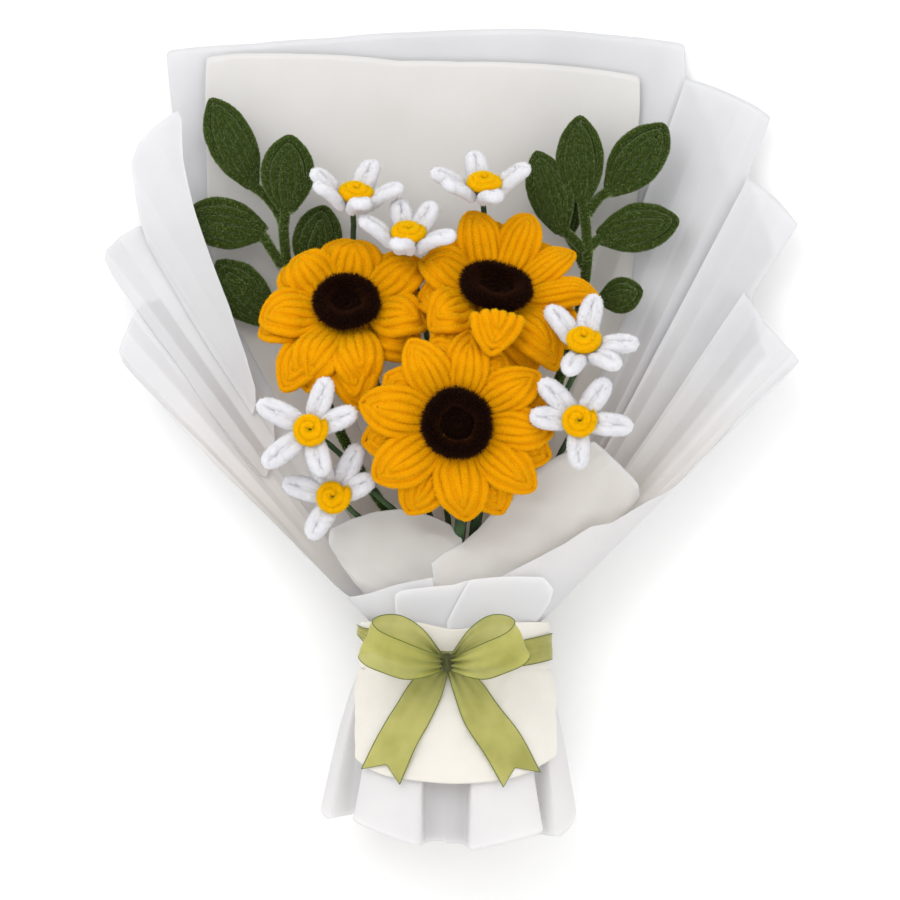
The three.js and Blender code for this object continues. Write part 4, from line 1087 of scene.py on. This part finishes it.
def skirt():
    turn = around(540, 60)
    which, away = nearest_flute(turn)
    flute = 1 - smoothstep(np.abs(away), 0.55, 1.15)
    rise = np.array(SKIRT["rises"])[which] + np.array(SKIRT["slants"])[which] * np.clip(away, -1, 1)
    hem = SKIRT["hem"] + 1 - (SKIRT["hem_step"] + 0.8) * flute + rise
    y = lerp(SKIRT["top"], hem, np.linspace(0, 1, 60))
    spreading = smoothstep(-y, 100, 150)
    wrinkle = 0.4 * ripples(skirt_face(turn, y, 0), 34, 71) * spreading
    tucks = 0.25 * sind(turn * 23) * (1 - spreading)
    # Painted shade between the flutes, low on the front; the inner face takes the paper's painted
    # shade all over, and the hem a painted highlight.
    painted_recess_shade = (1 - flute) * smoothstep(-y, 130, 175) * smoothstep(sind(turn), 0, 0.6)
    plate_piece("skirt_paper", WRAP, "wrap_paper", ["skirt"],
                *paper_faces(fluted, turn, y, 0.5 + wrinkle + tucks), closed=True,
                edge=0.7 * np.exp(-np.abs(y - hem) / 1.6), deep=(-0.8 * painted_recess_shade, 1 + 0 * painted_recess_shade))


def front_z(x, y):
    """How high the front of the skirt is."""
    side = skirt_face(0, y, 1)
    front = skirt_face(90, y, 1)
    middle = SKIRT["shift"] * flare(y)
    share = np.clip((x - middle) / (side[..., 0] - middle), -0.995, 0.995)
    return side[..., 2] + (front[..., 2] - side[..., 2]) * np.sqrt(1 - share ** 2)


def front_face(x, y):
    return np.stack(np.broadcast_arrays(x, y, front_z(x, y)), axis=-1)


def cuff():
    columns, rows = 160, 70
    across = np.linspace(-1, 1, columns)[:, None] * np.ones((1, rows))
    spread = np.sin(np.pi / 2 * across)
    top = CUFF["top"] - CUFF["dip"] * (1 - smoothstep(np.abs(across), 0, 0.3))
    bottom = CUFF["bottom"] - CUFF["smile"] * np.sqrt(1 - 0.96 * spread ** 2)
    bottom = bottom + 0.8 * ripples(across[..., None] * [50, 0, 0], 30, 5)
    y = lerp(top, bottom, np.linspace(0, 1, rows))
    width = np.minimum(CUFF["half_width"], 0.985 * skirt_face(0, y, 1)[..., 0] + 0.8)
    x = width * spread + 1.2 * (1 - np.abs(spread)) + 1.8 * np.clip(-spread, 0, 1)
    plain = front_face(x, y)
    wrinkle = 0.5 * ripples(plain, 22, 81) + 0.2 * ripples(plain, 8, 82)
    depth = CUFF["clearance"] + 0.3 + wrinkle * smoothstep(-y, 95, 125)
    plate_piece("waist_cuff_paper", CUFF_PAPER, "tissue_paper", ["waist_cuff"],
                *paper_faces(front_face, x, y, depth))


def padding():
    angle = around(120, 24)
    y = lerp(PADDING["top"], PADDING["bottom"], np.linspace(0, 1, 24)) * np.ones(angle.shape)
    inset = PADDING["layer"] * LAYER
    rings = []
    for width, depth, z in (
        (WAIST["half_width"] - inset, WAIST["half_depth"] - inset, WAIST["z"]),
        (PADDING["hole_width"], PADDING["hole_depth"], PADDING["hole_z"]),
    ):
        plain = np.stack([width * cosd(angle), y, z + depth * sind(angle)], axis=-1)
        crush = 0.6 * ripples(plain, 12, 91)[..., None]
        rings.append(plain - crush * np.stack([cosd(angle), 0 * y, sind(angle)], axis=-1))
    plate_piece("stem_padding_paper", TISSUE, "tissue_paper", ["stem_padding"], *rings, closed=True)


# ---------------------------------------------------------------- ribbon

KNOT_AT = np.array([KNOT["x"], KNOT["y"], KNOT["z"]], float)


def edge_piece(name, paths):
    """The two wired edges of a ribbon, and its cut end if there is a third path."""
    edges = Shape()
    for path, radius in zip(paths, (RIBBON["wire"], RIBBON["wire"], RIBBON["cut_edge"])):
        add_tube(edges, resample(path, 1.2), radius, 6)
    return edges.build(name, RIBBON_EDGE)


def strip(name, stations, count, pleat, held, rests_on, notch=0):
    """A ribbon along stations, each one its middle and half its width as a vector.

    pleat gives how far it stands off its own middle surface, and notch how deep its end is
    cut. It carries painted shade at the knot, where many layers of it lie over each other.
    """
    rows = smooth_stations(stations, count)
    centre, half = rows[:, :3], rows[:, 3:]
    across = np.linspace(-1, 1, 25)[:, None]
    grid = centre + half * across[..., None]
    along = np.gradient(centre, axis=0)
    normal = unit(np.cross(along, half))
    steps = np.linalg.norm(np.diff(centre, axis=0), axis=1)
    lengths = np.concatenate([[0], np.cumsum(steps)])
    if notch:
        pull = notch * (1 - np.abs(across)) * np.linspace(0, 1, count) ** 6
        grid = grid - unit(along) * pull[..., None]
    grid = grid + normal * pleat(across, lengths / lengths[-1])[..., None]
    width = 2 * np.linalg.norm(half, axis=1)
    uv = np.stack(np.broadcast_arrays(across * width / 2, lengths), axis=-1)
    # Painted shade near the knot, in bands across the ribbon like the shade of its folds.
    painted_knot_shade = 0.95 * np.exp(-np.linalg.norm(grid - KNOT_AT, axis=-1) / 10)
    painted_knot_shade = np.clip(painted_knot_shade * (1 + 0.5 * np.sin(9 * across)), 0, 1)
    lift = normal * RIBBON["thickness"] / 2
    piece = plate_piece(name, ORGANZA, "organza", (), grid - lift, grid + lift,
                        across=uv, deep=(painted_knot_shade, painted_knot_shade))
    paths = [grid[0], grid[-1]] + ([grid[:, -1]] if notch else [])
    rim = edge_piece(f"{name}_edge", paths)
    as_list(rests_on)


def smooth_stations(stations, count):
    """A Catmull-Rom curve through rows of numbers."""
    stations = np.asarray(stations, float)
    at = np.linspace(0, len(stations) - 1, count)
    p = np.vstack([2 * stations[0] - stations[1], stations, 2 * stations[-1] - stations[-2]])
    i = np.clip(np.floor(at).astype(int), 0, len(stations) - 2)
    t = (at - i)[:, None]
    a, b, c, d = p[i], p[i + 1], p[i + 2], p[i + 3]
    curve = 2 * b + (c - a) * t + (2 * a - 5 * b + 4 * c - d) * t ** 2
    return 0.5 * (curve + (3 * b - a - 3 * c + d) * t ** 3)


# Stations of a loop from the knot and back to it, and of each tail down the cuff. A loop's has its
# middle from the knot and half its width, both in x, y and z, and a tail's has them in x and y.
LOOP = [
    (3, 1.5, -2, 0, 3.5, 0), (12, 8.5, -2, 0, 8, 0), (23, 13.5, 0.5, -1, 9.5, 0),
    (33, 14.5, 4, -2, 9.2, 0), (40.5, 12.5, 8.5, -3.6, 8.6, 0), (38, 8, 13.5, -3, 9, 1),
    (31, 4.5, 15.5, -1, 9.4, 1.5), (21, 1, 15, 0, 9.2, 1), (11, -0.5, 10.5, 0, 6.5, 0.5),
    (3, -0.5, 4, 0, 3.5, 0),
]
TAILS = {
    "left": [(-5, -113.5, 2.6, -1), (-12.5, -123, 6.6, -4.4), (-20, -136, 8.2, -4.2),
             (-28, -150, 9, -3.6), (-36.3, -168, 9.6, -3.8)],
    "right": [(-0.5, -113.5, 2.6, 1), (6.5, -123, 6.2, 3.4), (14, -137, 8.2, 4.6),
              (24.5, -152, 8.8, 5), (34, -169.5, 9.2, 3.6)],
}


def tail_folds(across, along):
    folds = 1.2 * np.exp(-along / 0.16) * np.sin(across * 8 + 1)
    return folds + 0.4 * np.sin(across * 3 + 6 * along) * along


def bow():
    for side, size, label in ((-1, 1, "left"), (1, 0.92, "right")):
        mirror = [side * size, 1, 1, side, 1, 1]

        def gathers(across, along, phase=side):
            near = np.minimum(along, 1 - along)
            folds = 1.3 * np.exp(-near / 0.13) * np.sin(across * 9 + phase)
            return folds + 0.35 * np.sin(across * 5 + 8 * along)

        stations = np.array(LOOP) * mirror + [*KNOT_AT, 0, 0, 0]
        strip(f"bow_loop_{label}", stations, 110, gathers, "gathered", ["ribbon_band"])
    for label, stations in TAILS.items():
        path = []
        for k, (x, y, wx, wy) in enumerate(stations):
            z = float(front_z(x, y)) + (3.2 if k else 6.2)
            tilt = float(front_z(x + wx, y + wy) - front_z(x - wx, y - wy)) / 2
            path.append((x, y, z, wx, wy, tilt))
        strip(f"bow_tail_{label}", path, 90, tail_folds, "laid", ["waist_cuff"], RIBBON["notch"])

    columns, rows = 60, 30
    theta = np.radians(around(columns, rows))
    phi = np.linspace(0.12, np.pi - 0.12, rows) * np.ones((columns, 1))
    fold = 1 + 0.07 * np.sin(theta * 7 + 2 * phi) * np.sin(phi)
    r = KNOT["radius"] * 1.02
    outer = KNOT_AT + r * np.stack([
        0.86 * fold * np.sin(phi) * np.cos(theta),
        1.1 * np.cos(phi),
        fold * np.sin(phi) * np.sin(theta),
    ], axis=-1)
    plate_piece("bow_knot", SHADED_KNOT_CLOTH, "organza", ["ribbon_bow"], outer, lerp(KNOT_AT, outer, 0.9),
                closed=True, across=r * np.stack([theta, 1.3 * phi], axis=-1))


def band():
    """The ribbon round the waist, flat at the back and drawn together towards the bow."""
    columns, rows = 260, 33
    angle = around(columns, rows)
    across = np.linspace(-1, 1, rows) * np.ones((columns, 1))
    drawn = smoothstep(sind(angle), -0.95, -0.45)
    right, left = np.clip(cosd(angle), 0, 1), np.clip(-cosd(angle), 0, 1)
    front = -109.5 + 6.25 * right ** 2 + 14.5 * left ** 2
    middle = lerp((BAND["top"] + BAND["bottom"]) / 2, front, drawn)
    half = (BAND["top"] - BAND["bottom"]) / 2
    narrow = 0.38 + 0.28 * smoothstep(right, 0.1, 0.8) + 0.22 * smoothstep(left, 0.1, 0.5)
    narrow = lerp(1, narrow - 0.35 * smoothstep(left, 0.75, 1), drawn)
    y = middle - across * half * narrow
    ends = np.abs(cosd(angle)) ** 6 * drawn
    folds = 1.9 * (1 - narrow) * (1 - ends) * np.sin(across * 9 + angle / 30)
    folds = folds + 0.2 * drawn * np.sin(across * 3 - angle / 14)
    off = BAND["clearance"] + 0.7 * drawn * (1 - right ** 6 - left ** 6) - 1.2 * left ** 6
    off = off + folds + 0.25 * sind(angle * 9) * (1 - across ** 2)
    inner, outer = (np.stack([
        (WAIST["half_width"] + off + lift) * cosd(angle),
        y,
        WAIST["z"] + (WAIST["half_depth"] + off + lift) * sind(angle),
    ], axis=-1) for lift in (0, 0.18))
    flat = np.stack([across * half, np.radians(angle) * 42], axis=-1)
    piece = plate_piece("ribbon_band_cloth", ORGANZA, "organza", ["ribbon_band"], outer, inner,
                        closed=True, across=flat)
    rings = [np.vstack([ring, ring[:2]]) for ring in (outer[:, 0], outer[:, -1])]
    rim = edge_piece("ribbon_band_edge", rings)


# ---------------------------------------------------------------- the whole bouquet

for seed, (name, bloom) in enumerate(SUNFLOWERS.items()):
    sunflower(name, bloom, 100 + seed)
for number, bloom in enumerate(DAISIES, 1):
    daisy(number, bloom, 200 + number)
for seed, (side, spray) in enumerate(SPRAYS.items()):
    leaf_spray(side, spray, 300 + seed)
for seed, name in enumerate(SHEETS, 400):
    if name == "wrap_liner":
        paper_sheet(name, LINER, "liner_paper", seed)
    elif name.startswith("tissue"):
        # The right flap is drawn in the lighter copy of the tissue paper: painted light.
        tissue = LIT_TISSUE if name == "tissue_right" else TISSUE
        paper_sheet(name, tissue, "tissue_paper", seed, crumple=1.6, lip=1.2, rim=1.0)
    elif name.startswith("collar"):
        paper_sheet(name, WRAP, "wrap_paper", seed, crumple=-0.9, lip=0, rim=0.8)
    else:
        paper_sheet(name, WRAP, "wrap_paper", seed)
skirt()
cuff()
padding()
band()
bow()

# ---------------------------------------------------------------- floor, light and camera


def studio():
    floor_mesh = bpy.data.meshes.new("floor")
    corners = [(-6, -6, 0), (6, -6, 0), (6, 6, 0), (-6, 6, 0)]
    floor_mesh.from_pydata(corners, [], [(0, 1, 2, 3)])
    floor = add_object("floor", floor_mesh)
    floor.location.z = -0.0005
    material, tree = new_material("pale_floor")
    grain = object_noise(tree, 3, 2)["Fac"]
    colour = ramp(tree, grain, (0.3, (0.93, 0.93, 0.93)), (0.7, (0.95, 0.95, 0.95)))
    finish_material(tree, add_node(
        tree, "BsdfPrincipled", {"Base Color": colour, "Roughness": 0.9}))
    floor_mesh.materials.append(material)

    world = bpy.data.worlds.new("studio")
    bpy.context.scene.world = world
    world.use_nodes = True
    background = world.node_tree.nodes["Background"]
    background.inputs["Color"].default_value = (1, 1, 1, 1)
    background.inputs["Strength"].default_value = 1.12

    for name, place, power, width in (
        ("key", (-0.7, 0.95, 1.5), 11, 1.3),
        ("fill", (1.1, -0.5, 1.4), 3, 1.4),
    ):
        light = bpy.data.lights.new(name, "AREA")
        light.energy = power
        light.size = width
        lamp = add_object(name, light)
        lamp.location = place
        lamp.rotation_mode = "QUATERNION"
        lamp.rotation_quaternion = Vector(place).to_track_quat("Z", "Y")


def camera():
    """Straight down from far off, so that the picture is 450 mm across at the bouquet."""
    data = bpy.data.cameras.new("camera")
    distance, level, across = 12.0, 0.03, 0.45
    data.sensor_width = 36
    data.lens = data.sensor_width * (distance - level) / across
    data.clip_end = 40
    view = add_object("camera", data)
    view.location = (-0.00175, -0.00525, distance)
    bpy.context.scene.camera = view


studio()
camera()
bpy.context.scene.view_settings.view_transform = "Standard"
